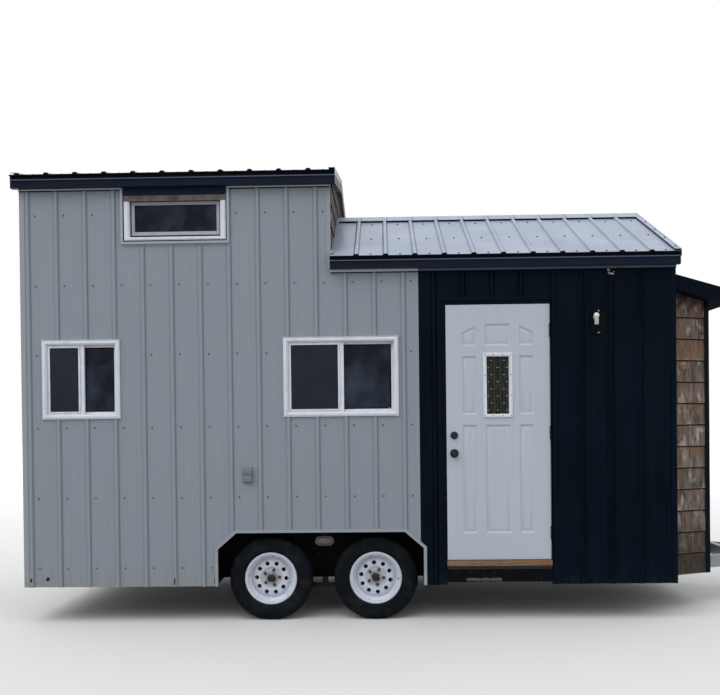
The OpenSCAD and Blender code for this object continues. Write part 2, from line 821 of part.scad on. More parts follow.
module cedar_shingles() place() color(cedar) {
    corner = 14;
    nose_core_y = nose_y(nose_x1 - shingle_t, shingle_t);
    nose_side = (nose_l - shingle_t) / cos(tongue_angle);
    ridge_z = lower_eave_z + eave_y * lower_slope;
    difference() {
        translate([right_core_x, 0, 0]) shingle_skin(-core_y, core_y, skirt_z, ridge_z);
        above_roofs();
        linear_extrude(height = nose_top_z + eps)
            polygon([[0, -nose_y0 - eps], [far, -nose_y0 - eps], [far, nose_y0 + eps], [0, nose_y0 + eps]]);
    }
    intersection() {
        difference() {
            translate([tall_l, 0, 0]) shingle_skin(-core_y, core_y, skirt_z, tall_eave_z + half_w);
            above_deck(-far, far, tall_eave_z, tall_slope);
        }
        along_x(-far, far, gable_band(core_y, lower_eave_z, lower_slope, flashing_h, far));
    }
    difference() {
        union() {
            translate([nose_x1 - shingle_t, 0, 0])
                shingle_skin(-nose_core_y + corner, nose_core_y - corner, skirt_z, nose_top_z);
            both_sides()
                translate([body_l, -nose_y(body_l, shingle_t), 0]) rotate([0, 0, tongue_angle - 90])
                    shingle_skin(2, nose_side - corner, skirt_z, nose_top_z);
        }
        above_nose(nose_roof_t);
        tongue_notches();
    }
}

// The deck of one roof as a bent slab from x0 to x1
module roof_deck(x0, x1, eave_z, slope)
    along_x(x0, x1, gable_band(deck_y, eave_z, slope, -deck_t / cos(atan(slope)), 0));

module tall_roof_deck() place() color(plywood)
    roof_deck(-tall_over + fascia_t, tall_l + tall_over - fascia_t, tall_eave_z, tall_slope);

module lower_roof_deck() place() color(plywood)
    roof_deck(tall_l, body_l + lower_over - fascia_t, lower_eave_z, lower_slope);

// Ribbed metal on both slopes of one roof, with its ridge cap
module roof_cover(x0, x1, cap_x0, eave_z, slope, first) {
    angle = atan(slope);
    drip = 20;
    run = (eave_y + drip) / cos(angle) - ridge_gap;
    lift = (sheet_t + rib_h) / cos(angle);
    cap = [for (p = gable_band(cap_w, eave_z, slope, lift, lift + trim_t)) p];
    both_sides() translate([x0, -eave_y - drip, eave_z - drip * slope]) rotate([angle, 0, 0])
        ribbed_sheet(x1 - x0, run, first);
    along_x(cap_x0, x1, cap);
}

module roof_metal() place() color(roof_grey) {
    roof_cover(-tall_over, tall_l + tall_over, -tall_over, tall_eave_z, tall_slope, rib_first);
    roof_cover(tall_l, body_l + lower_over, tall_l + flashing_w, lower_eave_z, lower_slope, roof_rib_first);
}

// Eave boards with soffits on both sides from x0 to x1
module eave_boards(x0, x1, eave_z)
    both_sides() {
        block([x0, -eave_y, eave_z - fascia_h], [x1, -deck_y, eave_z]);
        block([x0, -deck_y - eps, eave_z - fascia_h], [x1, -trim_y - 20, eave_z - fascia_h + 6]);
    }

module rake_boards(x, eave_z, slope)
    along_x(x, x + fascia_t, gable_band(deck_y, eave_z, slope, -fascia_h, 0));

module roof_trim() place() color(steel_black) {
    eave_boards(-tall_over, tall_l + tall_over, tall_eave_z);
    rake_boards(-tall_over, tall_eave_z, tall_slope);
    rake_boards(tall_l + tall_over - fascia_t, tall_eave_z, tall_slope);
    eave_boards(tall_l, body_l + lower_over, lower_eave_z);
    rake_boards(body_l + lower_over - fascia_t, lower_eave_z, lower_slope);
}

// Channel over the top edge of the siding from x0 to x1
module eave_channel(x0, x1, z) {
    block([x0, -crest_y - trim_t, z - 22], [x1, -crest_y, z + trim_t]);
    block([x0, -crest_y - trim_t, z], [x1, -half_w + sheet_t / 2, z + trim_t]);
}

// Folded corner trim on the front side, its outside at x, with legs reaching towards -X and +Y
module corner_trim(x, leg, z0, z1) {
    block([x - leg, -trim_y, z0], [x + trim_t, -half_w, z1]);
    block([x, -trim_y, z0], [x + trim_t, -half_w + trim_w, z1]);
}

module grey_trim() place() color(siding_grey) {
    lift = (sheet_t + rib_h) / cos(lower_angle);
    ring = 21;
    both_sides() {
        eave_channel(-trim_t, tall_l, tall_siding_z);
        eave_channel(tall_l, grey_l, lower_siding_z);
        block([-trim_t, -trim_y, skirt_z], [rib_first - rib_foot / 2 - eps, -half_w, tall_siding_z]);
        block([-trim_t, -trim_y, skirt_z], [0, -half_w + trim_w, tall_siding_z]);
        block([tall_l - 28, -trim_y, lower_siding_z + trim_t], [tall_l, -half_w, tall_siding_z]);
        difference() {
            block([loft_win_x - ring, -trim_y, loft_win_bottom_z - 31],
                  [loft_win_x + loft_win_w + ring + 4, -half_w, loft_win_top_z + 4]);
            block([loft_win_x, -far, loft_win_bottom_z],
                  [loft_win_x + loft_win_w, 0, far]);
        }
        intersection() {
            difference() {
                along_y(-crest_y - trim_t, -half_w, well_outline(well_trim_w));
                along_y(-far, 0, well_outline(0));
            }
            block([0, -far, skirt_z], [body_l, 0, far]);
        }
    }
    along_x(tall_l, tall_l + flashing_w, gable_band(deck_y, lower_eave_z, lower_slope, lift, lift + trim_t));
    along_x(tall_l, tall_l + trim_t, gable_band(core_y, lower_eave_z, lower_slope, lift, flashing_h));
}

module black_trim() place() color(siding_black) {
    ret = 6;
    both_sides() {
        eave_channel(grey_l, body_l + trim_t, lower_siding_z);
        corner_trim(body_l, trim_w, skirt_z, lower_siding_z);
        block([loft_win_x - 24, -trim_y, loft_win_top_z + 4],
              [loft_win_x + loft_win_w + 25, -half_w, tall_siding_z]);
        difference() {
            intersection() {
                translate([0, 0, skirt_z]) linear_extrude(height = far) difference() {
                    polygon(nose_plan(body_l, -trim_t));
                    polygon(nose_plan(body_l - far, 0));
                }
                block([nose_x1 - trim_w, -nose_y(nose_x1, 0) - trim_w, 0],
                      [nose_x1 + trim_w, -nose_y(nose_x1, 0) + trim_w, far]);
            }
            above_nose(nose_roof_t);
        }
    }
    block([opening_x0 - casing_w, -trim_y, skirt_z], [opening_x0 + ret, -half_w, opening_z1 + casing_w]);
    block([opening_x0, -trim_y, floor_z], [opening_x0 + ret, -door_face_y, opening_z1]);
    block([opening_x0 + ret, -trim_y, skirt_z], [sill_x0, -core_y, sill_top_z]);
    block([sill_x1, -trim_y, skirt_z], [seam_x, -core_y, sill_top_z]);
    block([opening_x0 - casing_w, -trim_y, opening_z1], [seam_x, -half_w, opening_z1 + casing_w]);
    block([opening_x0, -trim_y, opening_z1 - ret], [seam_x, -door_face_y, opening_z1]);
    block([seam_x, -crest_y - eps, skirt_z], [seam_x + seam_w, -core_y, lower_siding_z]);
}

// Frame of one window on the front side
module window_frame(w) {
    x0 = w[0] + flange_w;
    x1 = w[0] + w[1] - flange_w;
    z0 = w[2] + flange_w;
    z1 = w[2] + w[3] - flange_w;
    mid = (x0 + x1) / 2;
    liner = w[4] == 2 ? liner_t : loft_liner_t;
    outer_y = half_w + window_proud;
    difference() {
        union() {
            block([w[0], -outer_y, w[2]], [w[0] + w[1], -half_w, w[2] + w[3]]);
            block([x0, -outer_y, z0], [x1, -half_w + window_d, z1]);
        }
        block([x0 + liner, -far, z0 + liner], [x1 - liner, 0, z1 - liner]);
    }
    if (w[4] == 2) {
        sash([x0 + liner, mid + stile_w / 2, z0 + liner, z1 - liner], sash_w - liner, stile_w, sash_y0);
        sash([x1 - liner, mid - stile_w / 2, z0 + liner, z1 - liner], sash_w - liner, stile_w, sash_y1);
    } else
        sash([x0 + liner, x1 - liner, z0 + liner, z1 - liner], loft_sash_w, loft_sash_w, loft_sash_y);
}

// One sash: s holds its outer end, inner end, foot and top; the inner end is stile wide
function sash_hole(s, rim, stile) = [
    min(s[0] + rim * sign(s[1] - s[0]), s[1] - stile * sign(s[1] - s[0])),
    max(s[0] + rim * sign(s[1] - s[0]), s[1] - stile * sign(s[1] - s[0])),
    s[2] + rim, s[3] - rim
];
module sash(s, rim, stile, y) {
    h = sash_hole(s, rim, stile);
    difference() {
        block([min(s[0], s[1]), -y, s[2]], [max(s[0], s[1]), -y + sash_t, s[3]]);
        block([h[0], -y - eps, h[2]], [h[1], -y + sash_t + eps, h[3]]);
    }
}
module pane(s, rim, stile, y) {
    h = sash_hole(s, rim, stile);
    block([h[0], -y + (sash_t - glass_t) / 2, h[2]], [h[1], -y + (sash_t + glass_t) / 2, h[3]]);
}

module window_frames() place() color(vinyl_white)
    both_sides()
        for (w = win_list) window_frame(w);

module window_panes(w) {
    liner = w[4] == 2 ? liner_t : loft_liner_t;
    x0 = w[0] + flange_w + liner;
    x1 = w[0] + w[1] - flange_w - liner;
    z0 = w[2] + flange_w + liner;
    z1 = w[2] + w[3] - flange_w - liner;
    mid = (x0 + x1) / 2;
    if (w[4] == 2) {
        pane([x0, mid + stile_w / 2, z0, z1], sash_w - liner, stile_w, sash_y0);
        pane([x1, mid - stile_w / 2, z0, z1], sash_w - liner, stile_w, sash_y1);
    } else
        pane([x0, x1, z0, z1], loft_sash_w, loft_sash_w, loft_sash_y);
}

module window_glass() place() color(glass_tint)
    both_sides()
        for (w = win_list) window_panes(w);

// Hinge parts. Each hinge is cut into five knuckles, the odd ones fixed to the jamb
module knuckles(fixed) {
    part_h = hinge_h / 5;
    for (z = hinge_zs)
        for (i = [0 : 4])
            if ((i % 2 == 0) == fixed)
                translate([pin_x, pin_y, z - hinge_h / 2 + i * part_h])
                    knuckle(fixed, fixed ? part_h - eps : part_h - eps);
}
module knuckle(fixed, h) {
    side = fixed ? 1 : -1;
    web_x = door_gap / 2 - leaf_t / 2;
    difference() {
        union() {
            cylinder(r = barrel_r, h = h);
            translate([side * web_x - leaf_t / 2, 0, 0]) cube([leaf_t, barrel_r + barrel_off + eps, h]);
        }
        if (!fixed) translate([0, 0, -eps]) cylinder(r = pin_r + pin_fit, h = h + 2 * eps);
    }
}
module hinge_leaf(fixed) {
    side = fixed ? 1 : -1;
    web_x = door_gap / 2 - leaf_t / 2;
    for (z = hinge_zs)
        translate([pin_x + side * web_x - leaf_t / 2, -door_face_y, z - hinge_h / 2])
            cube([leaf_t, door_t - 6, hinge_h - eps]);
}

module door_frame() place() color(steel_black) {
    stop_t = 12;
    stop_y = door_face_y - door_t - 5;
    head_z = door_z + door_h + door_gap;
    block([opening_x0, -door_face_y, sill_top_z], [opening_x0 + jamb_t, -inner_y, opening_z1]);
    block([opening_x1 - jamb_t, -door_face_y, sill_top_z], [opening_x1, -inner_y, opening_z1]);
    block([opening_x0, -door_face_y, head_z], [opening_x1, -inner_y, opening_z1]);
    block([opening_x0, -stop_y, sill_top_z], [opening_x0 + jamb_t + latch_gap + stop_t, -inner_y, opening_z1]);
    block([opening_x1 - jamb_t - door_gap - stop_t, -stop_y, sill_top_z], [opening_x1, -inner_y, opening_z1]);
    block([opening_x0, -stop_y, head_z - door_gap - stop_t], [opening_x1, -inner_y, opening_z1]);
    knuckles(true);
    hinge_leaf(true);
    for (z = hinge_zs)
        translate([pin_x, pin_y, z - hinge_h / 2 - 2]) cylinder(r = pin_r, h = hinge_h + 4);
}

module door_sill() place() color(timber) {
    block([opening_x0, -door_face_y, floor_z], [opening_x1, -inner_y, sill_top_z]);
    block([sill_x0, -core_y - eps, floor_z], [sill_x1, -door_face_y + eps, sill_top_z]);
    block([sill_x0, -half_w - sill_out, sill_top_z - sill_h], [sill_x1, -core_y, sill_top_z]);
}

// Pressed panels of the door: left side, right side, foot, height at the left, height at the right
side_x0 = door_margin;
side_x1 = door_margin + side_panel_w;
mid_x0 = door_w / 2 - mid_panel_w / 2;
mid_x1 = door_w / 2 + mid_panel_w / 2;
low_z0 = door_foot;
low_z1 = low_z0 + low_panel_h;
mid_z0 = low_z1 + door_rail;
mid_z1 = mid_z0 + mid_panel_h;
top_z0 = mid_z1 + door_rail;
arch_low = top_z0 + arch_side_h;
arch_high = top_z0 + arch_inner_h;
panel_list = [
    [side_x0, side_x1, low_z0, low_z1, low_z1],
    [mid_x0, mid_x1, low_z0, low_z1, low_z1],
    [door_w - side_x1, door_w - side_x0, low_z0, low_z1, low_z1],
    [side_x0, side_x1, mid_z0, mid_z1, mid_z1],
    [door_w - side_x1, door_w - side_x0, mid_z0, mid_z1, mid_z1],
    [side_x0, side_x1, top_z0, arch_low, arch_high],
    [mid_x0, mid_x1, top_z0, top_z0 + arch_mid_h, top_z0 + arch_mid_h],
    [door_w - side_x1, door_w - side_x0, top_z0, arch_high, arch_low]
];
// Outer edge of the glazed part: left side, right side, foot and top on the leaf
lite = [door_w / 2 - lite_w / 2, door_w / 2 + lite_w / 2, mid_z0 - lite_over, mid_z1 + lite_over];

function panel_outline(p, inset) = [
    [p[0] + inset, p[2] + inset], [p[1] - inset, p[2] + inset],
    [p[1] - inset, p[4] - inset], [p[0] + inset, p[3] - inset]
];

module panel_groove(p) {
    rim = 18;
    difference() {
        along_y(-door_face_y - eps, -door_face_y + panel_d, panel_outline(p, 0));
        along_y(-door_face_y + 2, -door_face_y + panel_d + eps, panel_outline(p, rim));
    }
}

module door_slab() place() color(door_grey)
    translate([door_x, 0, door_z]) difference() {
        union() {
            block([0, -door_face_y, 0], [door_w, -door_face_y + door_t, door_h]);
            block([lite[0], -door_face_y - 12, lite[2]], [lite[1], -door_face_y + door_t + 12, lite[3]]);
        }
        block([lite[0] + lite_rim, -far, lite[2] + lite_rim], [lite[1] - lite_rim, 0, lite[3] - lite_rim]);
        for (p = panel_list) panel_groove(p);
    }

module door_glass() place() color(glass_tint)
    translate([door_x, -door_face_y + door_t / 2, door_z])
        block([lite[0] + lite_rim, -glass_t / 2, lite[2] + lite_rim],
              [lite[1] - lite_rim, glass_t / 2, lite[3] - lite_rim]);

module door_hardware() place() color(brass_tone)
    translate([door_x + knob_x, 0, door_z]) {
        knob_set(knob_z, 34, 58);
        knob_set(lock_z, 30, 22);
    }

// A knob or a lock: a rosette on each face of the leaf and a turned head outside and inside
module knob_set(z, r, reach) {
    outside = -door_face_y;
    inside = -door_face_y + door_t;
    translate([0, outside, z]) rotate([90, 0, 0]) turned_head(r, reach);
    translate([0, inside, z]) rotate([-90, 0, 0]) turned_head(r, reach);
}
module turned_head(r, reach)
    rotate_extrude()
        polygon([
            [0, 0], [r, 0], [r, 5], [r - 4, 8], [r * 0.5, 10], [r * 0.4, reach * 0.45],
            [r * 0.6, reach * 0.5], [r * 0.8, reach * 0.6], [r * 0.85, reach * 0.8],
            [r * 0.7, reach * 0.94], [r * 0.4, reach], [0, reach]
        ]);

module door_hinges() place() color(brass_tone) {
    knuckles(false);
    hinge_leaf(false);
}

// A flat oval with round ends, w wide and h high, whichever is the longer
module oval(w, h) {
    r = min(w, h) / 2;
    a = w / 2 - r;
    b = h / 2 - r;
    union() {
        translate([a, b]) circle(r = r);
        translate([-a, -b]) circle(r = r);
        square([w > h ? 2 * a : w, w > h ? h : 2 * b], center = true);
    }
}

module wall_lamp() place() color(siding_black) {
    plate_t = 8;
    straight = (lamp_h - lamp_w) / 2;
    translate([lamp_x, -half_w, lamp_z]) rotate([90, 0, 0]) {
        linear_extrude(height = plate_t) oval(lamp_w, lamp_h);
        linear_extrude(height = plate_t + 5) difference() {
            oval(lamp_w - 14, lamp_h - 14);
            oval(lamp_w - 30, lamp_h - 30);
        }
        translate([-22, straight - 10, 0]) cylinder(r = 22, h = 34);
    }
    translate([lamp_x - 22, -half_w - 44, lamp_z + straight - 70]) cylinder(r = 17, h = 60);
    translate([lamp_x - 22, -half_w - 34, lamp_z + straight - 10]) sphere(r = 24);
}

module outlet_box() place() color(silver_grey) {
    depth = 46;
    hood = 12;
    block([outlet_x, -half_w - depth + hood, outlet_z],
          [outlet_x + outlet_w, -half_w, outlet_z + outlet_h * 0.42]);
    block([outlet_x, -half_w - depth, outlet_z + outlet_h * 0.46],
          [outlet_x + outlet_w, -half_w, outlet_z + outlet_h]);
    block([outlet_x + 3, -half_w - depth + hood + 3, outlet_z + 3],
          [outlet_x + outlet_w - 3, -half_w, outlet_z + outlet_h - 3]);
    block([outlet_x + outlet_w - eps, -half_w - 30, outlet_z + 40],
          [outlet_x + outlet_w + 6, -half_w - 8, outlet_z + 70]);
}

module marker_lamps() place() color(rust) {
    x = axle_mid_x + 16;
    z1 = well_top_z - 37;
    both_sides() {
        translate([x, -half_w + 52, z1 - marker_h / 2]) rotate([90, 0, 0]) {
            linear_extrude(height = 20) oval(marker_w, marker_h);
            linear_extrude(height = 28) oval(marker_w - 18, marker_h - 18);
        }
        block([x - 30, -half_w + 46, z1 - 20], [x + 30, -half_w + 52, well_top_z]);
    }
}

// Wheels, drawn round Z with the outer face towards +Z
module tyre() {
    bead_r = rim_r - 17.7;
    side = tyre_w / 2;
    seat = 77.6;
    tread = [
        [tyre_r, 82], [tyre_r, 66], [tyre_r - 9, 64], [tyre_r - 9, 56], [tyre_r, 54],
        [tyre_r, 28], [tyre_r - 9, 26], [tyre_r - 9, 18], [tyre_r, 16]
    ];
    half_outer = concat(
        [[bead_r, 52], [bead_r, seat], [rim_r + 1, seat], [rim_r + 8, 87], [rim_r + 28, 98],
         [rim_r + 52, side], [rim_r + 80, side - 1], [rim_r + 104, side - 6], [tyre_r - 10, 90]],
        tread
    );
    half_inner = [
        [rim_r - 6, 52], [rim_r + 6, 72], [rim_r + 30, 86], [rim_r + 56, 89],
        [rim_r + 80, 86], [rim_r + 98, 78], [tyre_r - 18, 60]
    ];
    n = len(half_outer);
    m = len(half_inner);
    outline = concat(
        half_outer,
        [for (i = [n - 1 : -1 : 0]) [half_outer[i][0], -half_outer[i][1]]],
        [for (i = [0 : m - 1]) [half_inner[i][0], -half_inner[i][1]]],
        [for (i = [m - 1 : -1 : 0]) half_inner[i]]
    );
    rotate_extrude() polygon(outline);
}

module rim() {
    seat_r = rim_r - 18;
    drop_r = rim_r - 42;
    shell = 5;
    hub_r = 37;
    hub_gap = 3;
    bore = spindle_r + pin_fit;
    profile = [
        [rim_r, 84], [rim_r, 78], [seat_r, 78], [seat_r, 56], [drop_r, 40], [drop_r, -20],
        [seat_r, -48], [seat_r, -78], [rim_r, -78], [rim_r, -84], [rim_r - 7, -89],
        [seat_r - shell, -84], [seat_r - shell, -50], [drop_r - shell, -22], [drop_r - shell, 6],
        [154, 6], [146, 24], [132, 32], [104, 34], [87, 32], [79, 24],
        [drum_r, 24], [drum_r, -44], [drum_r - 8, -44], [drum_r - 8, 16], [hub_r + 2, 16],
        [hub_r + 2, hub_gap - drum_w], [bore, hub_gap - drum_w], [bore, 41], [0, 41], [0, 62], [hub_r - 9, 62],
        [hub_r, 58], [hub_r, 30], [76, 30], [84, 38], [104, 40], [134, 38], [150, 30],
        [drop_r - shell, 24], [drop_r - shell, 43], [seat_r - shell, 59], [seat_r - shell, 84],
        [rim_r - 7, 89]
    ];
    difference() {
        rotate_extrude() polygon(profile);
        for (i = [0 : disc_holes - 1])
            rotate([0, 0, i * 360 / disc_holes])
                translate([disc_ring_r, 0, 27]) cylinder(r = disc_hole_r, h = 30);
    }
    for (i = [0 : lug_count - 1])
        rotate([0, 0, 5 + i * 360 / lug_count]) translate([lug_ring_r, 0, 30 - eps]) {
            cylinder(r = 10.5, h = 14, $fn = 6);
            cylinder(r = 6, h = 22);
        }
}

// Puts a wheel part on the front left (0) or front right (1) spindle
module on_spindle(i, turn) place()
    translate([axle_xs[i], -tyre_y, tyre_r]) rotate([90, turn, 0]) children();

module tyre_front_left() color(rubber_black) on_spindle(0, left_turn) tyre();
module tyre_front_right() color(rubber_black) on_spindle(1, right_turn) tyre();
module tyre_back_left() color(rubber_black) mirror([0, 1, 0]) on_spindle(0, left_turn) tyre();
module tyre_back_right() color(rubber_black) mirror([0, 1, 0]) on_spindle(1, right_turn) tyre();
module rim_front_left() color(rim_white) on_spindle(0, left_turn) rim();
module rim_front_right() color(rim_white) on_spindle(1, right_turn) rim();
module rim_back_left() color(rim_white) mirror([0, 1, 0]) on_spindle(0, left_turn) rim();
module rim_back_right() color(rim_white) mirror([0, 1, 0]) on_spindle(1, right_turn) rim();

trailer_frame();
tongue_frame();
hitch_coupler();
tongue_jack();
leaf_springs();
axles();
wheel_wells();
floor_deck();
loft_floor();
front_wall();
front_wall_over_door();
front_wall_corner();
back_wall();
left_end_wall();
right_end_wall();
tall_side_wall();
nose_walls();
nose_roof();
grey_siding();
black_siding();
cedar_shingles();
tall_roof_deck();
lower_roof_deck();
roof_metal();
roof_trim();
grey_trim();
black_trim();
window_frames();
window_glass();
door_frame();
door_sill();
wall_lamp();
outlet_box();
marker_lamps();
door_slab();
door_glass();
door_hardware();
door_hinges();
tyre_front_left();
tyre_front_right();
tyre_back_left();
tyre_back_right();
rim_front_left();
rim_front_right();
rim_back_left();
rim_back_right();
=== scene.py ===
import logging
import random
from collections.abc import Callable, Sequence
from dataclasses import dataclass, field
from enum import Enum
from functools import reduce
from math import ceil, cos, hypot, pi, radians, sin, sqrt, tan, tau

import bmesh
import bpy
from mathutils import Matrix, Vector


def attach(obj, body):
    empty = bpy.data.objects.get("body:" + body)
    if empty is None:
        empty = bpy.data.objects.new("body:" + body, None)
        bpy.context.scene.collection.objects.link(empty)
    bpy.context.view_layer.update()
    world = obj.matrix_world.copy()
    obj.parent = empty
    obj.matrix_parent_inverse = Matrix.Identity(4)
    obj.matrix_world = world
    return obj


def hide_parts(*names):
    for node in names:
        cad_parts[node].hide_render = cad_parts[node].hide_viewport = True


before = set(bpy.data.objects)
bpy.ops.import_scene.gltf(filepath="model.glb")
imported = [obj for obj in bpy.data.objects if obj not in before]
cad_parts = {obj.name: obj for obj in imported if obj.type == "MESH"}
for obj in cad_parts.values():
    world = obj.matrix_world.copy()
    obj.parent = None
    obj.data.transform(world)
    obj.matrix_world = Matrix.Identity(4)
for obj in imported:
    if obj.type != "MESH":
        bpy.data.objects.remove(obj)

LOG = logging.getLogger("tiny_house")

# Distance from the left end of the house to the middle of the whole footprint, in millimetres
LEFT_TO_MIDDLE = 3388.5
Point = Sequence[float]
Box = tuple[float, float, float, float]
Outline = list[tuple[float, float]]
Rows = Sequence[tuple[float, float]]
Socket = bpy.types.NodeSocket


class Rider(Enum):
    """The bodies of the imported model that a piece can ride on."""

    HOUSE = "house"
    DOOR = "door"
    WHEEL_FRONT_LEFT = "wheel_front_left"
    WHEEL_FRONT_RIGHT = "wheel_front_right"
    WHEEL_BACK_LEFT = "wheel_back_left"
    WHEEL_BACK_RIGHT = "wheel_back_right"


class Side(Enum):
    """The two long sides of the house; the value is the sign of Y."""

    FRONT = -1
    BACK = 1


class Along(Enum):
    """The axis that a grain or a brushing runs along."""

    X = 0
    Y = 1
    Z = 2


def linear(code: str) -> Box:
    """Turns an sRGB hex colour into Blender's linear colour.

    Args:
        code: Colour such as "#7e8891".

    Returns:
        Red, green, blue and full alpha, linear.
    """
    parts = [int(code[i : i + 2], 16) / 255 for i in (1, 3, 5)]
    turned = [c / 12.92 if c <= 0.04045 else ((c + 0.055) / 1.055) ** 2.4 for c in parts]
    return (turned[0], turned[1], turned[2], 1.0)


def corners(box: Box, by: float = 0.0) -> Outline:
    """Gives the corners of a rectangle, named by left, right, foot and top, made smaller all round."""
    x0, x1, z0, z1 = box
    return [(x0 + by, z0 + by), (x1 - by, z0 + by), (x1 - by, z1 - by), (x0 + by, z1 - by)]


def add_node(
    tree: bpy.types.NodeTree, kind: str, inputs: dict | None = None, **settings: object
) -> bpy.types.Node:
    """Adds one node with its settings, values and links.

    Args:
        tree: Node tree of a material or of the world.
        kind: Blender's name of the node type, without ShaderNode before it.
        inputs: Socket name or number to a value, or to the output socket it is linked from.
        settings: Attributes of the node itself.

    Returns:
        The new node.
    """
    node = tree.nodes.new(f"ShaderNode{kind}")
    for key, value in settings.items():
        setattr(node, key, value)
    for key, value in (inputs or {}).items():
        if isinstance(value, bpy.types.NodeSocket):
            tree.links.new(value, node.inputs[key])
        else:
            node.inputs[key].default_value = value
    return node


@dataclass
class Pattern:
    """The nodes of one material; every size in it is real."""

    tree: bpy.types.NodeTree
    shader: bpy.types.Node

    def place(self) -> Socket:
        """Gives the object's own coordinates, in metres in the frame."""
        return add_node(self.tree, "TexCoord").outputs["Object"]

    def axes(self) -> tuple[Socket, Socket, Socket]:
        """Gives X, Y and Z of the surface in metres."""
        return tuple(add_node(self.tree, "SeparateXYZ", {0: self.place()}).outputs)

    def tone(self) -> Socket:
        """Gives the tone of the board or shingle, from nothing to one."""
        return add_node(self.tree, "Attribute", attribute_name="tone").outputs["Fac"]

    def noise(self, size: float, stretch: Point = (1, 1, 1), detail: float = 3) -> Socket:
        """Gives a noise whose blotches have a real size.

        Args:
            size: Width of a blotch in millimetres.
            stretch: How many times longer a blotch is along each axis.
            detail: Octaves of the noise.

        Returns:
            The factor socket.
        """
        times = tuple(1000 / size / s for s in stretch)
        scaled = add_node(
            self.tree, "VectorMath", {0: self.place(), 1: times}, operation="MULTIPLY"
        )
        inputs = {"Vector": scaled.outputs[0], "Scale": 1.0, "Detail": detail}
        return add_node(self.tree, "TexNoise", inputs).outputs["Fac"]

    def ramp(
        self, value: Socket, low: float, high: float, to_low: float = 0.0, to_high: float = 1.0
    ) -> Socket:
        """Maps a value from one range to another and holds it at the ends."""
        inputs = {0: value, 1: low, 2: high, 3: to_low, 4: to_high}
        return add_node(self.tree, "MapRange", inputs).outputs[0]

    def mix(self, factor: Socket | float, first: Socket | str, second: Socket | str) -> Socket:
        """Mixes two colours, given as hex codes or as sockets."""
        one, two = (linear(c) if isinstance(c, str) else c for c in (first, second))
        return add_node(self.tree, "Mix", {0: factor, 6: one, 7: two}, data_type="RGBA").outputs[2]

    def base(self) -> Socket | Box:
        """Gives the base colour as it is so far."""
        socket = self.shader.inputs["Base Color"]
        return socket.links[0].from_socket if socket.links else tuple(socket.default_value)

    def lay(self, factor: Socket | float, colour: Socket | str) -> None:
        """Lays a colour over the base colour, fully where the factor is one."""
        self.drive("Base Color", self.mix(factor, self.base(), colour))

    def calc(self, operation: str, first: Socket | float, second: Socket | float = 0.0) -> Socket:
        """Works out one sum on values."""
        return add_node(self.tree, "Math", {0: first, 1: second}, operation=operation).outputs[0]

    def times(self, *factors: Socket | float) -> Socket:
        """Multiplies values."""
        return reduce(lambda product, factor: self.calc("MULTIPLY", product, factor), factors)

    def drive(self, socket: str, value: Socket) -> None:
        """Links a value to a socket of the shader."""
        self.tree.links.new(value, self.shader.inputs[socket])

    def gloss(self, factor: Socket, low: float, high: float) -> None:
        """Lets the roughness waver between two values."""
        self.drive("Roughness", self.ramp(factor, 0.3, 0.7, max(low, 0.02), high))

    def bump(self, height: Socket, depth: float, strength: float = 0.5) -> None:
        """Adds a relief to the shader, on top of a relief that is there already.

        Args:
            height: Height from nothing to one.
            depth: Real height of the relief in millimetres.
            strength: How plainly it shows.
        """
        inputs: dict = {"Height": height, "Distance": depth / 1000, "Strength": strength}
        linked = self.shader.inputs["Normal"].links
        if linked:
            inputs["Normal"] = linked[0].from_socket
        self.drive("Normal", add_node(self.tree, "Bump", inputs).outputs[0])


@dataclass(frozen=True)
class Finish:
    """A surface finish: one named material with its typical values."""

    name: str
    colour: str
    roughness: float = 0.5
    metallic: float = 0.0
    ior: float = 1.5
    specular: float = 0.5

    def material(self) -> bpy.types.Material:
        """Makes the material once and hands out the same one afterwards.

        Returns:
            The Blender material.
        """
        found = bpy.data.materials.get(self.name)
        if found is not None:
            return found
        material = bpy.data.materials.new(self.name)
        material.use_nodes = True
        material.diffuse_color = linear(self.colour)
        shader = material.node_tree.nodes["Principled BSDF"]
        shader.inputs["Base Color"].default_value = linear(self.colour)
        shader.inputs["Roughness"].default_value = self.roughness
        shader.inputs["Metallic"].default_value = self.metallic
        if self.metallic == 0:
            shader.inputs["IOR"].default_value = self.ior
            shader.inputs["Specular IOR Level"].default_value = self.specular
        self.dress(Pattern(material.node_tree, shader))
        return material

    def dress(self, p: Pattern) -> None:
        """Adds the pattern of the finish; the plain base only lets its gloss waver."""
        p.gloss(p.noise(6.0, detail=4), self.roughness - 0.06, self.roughness + 0.08)


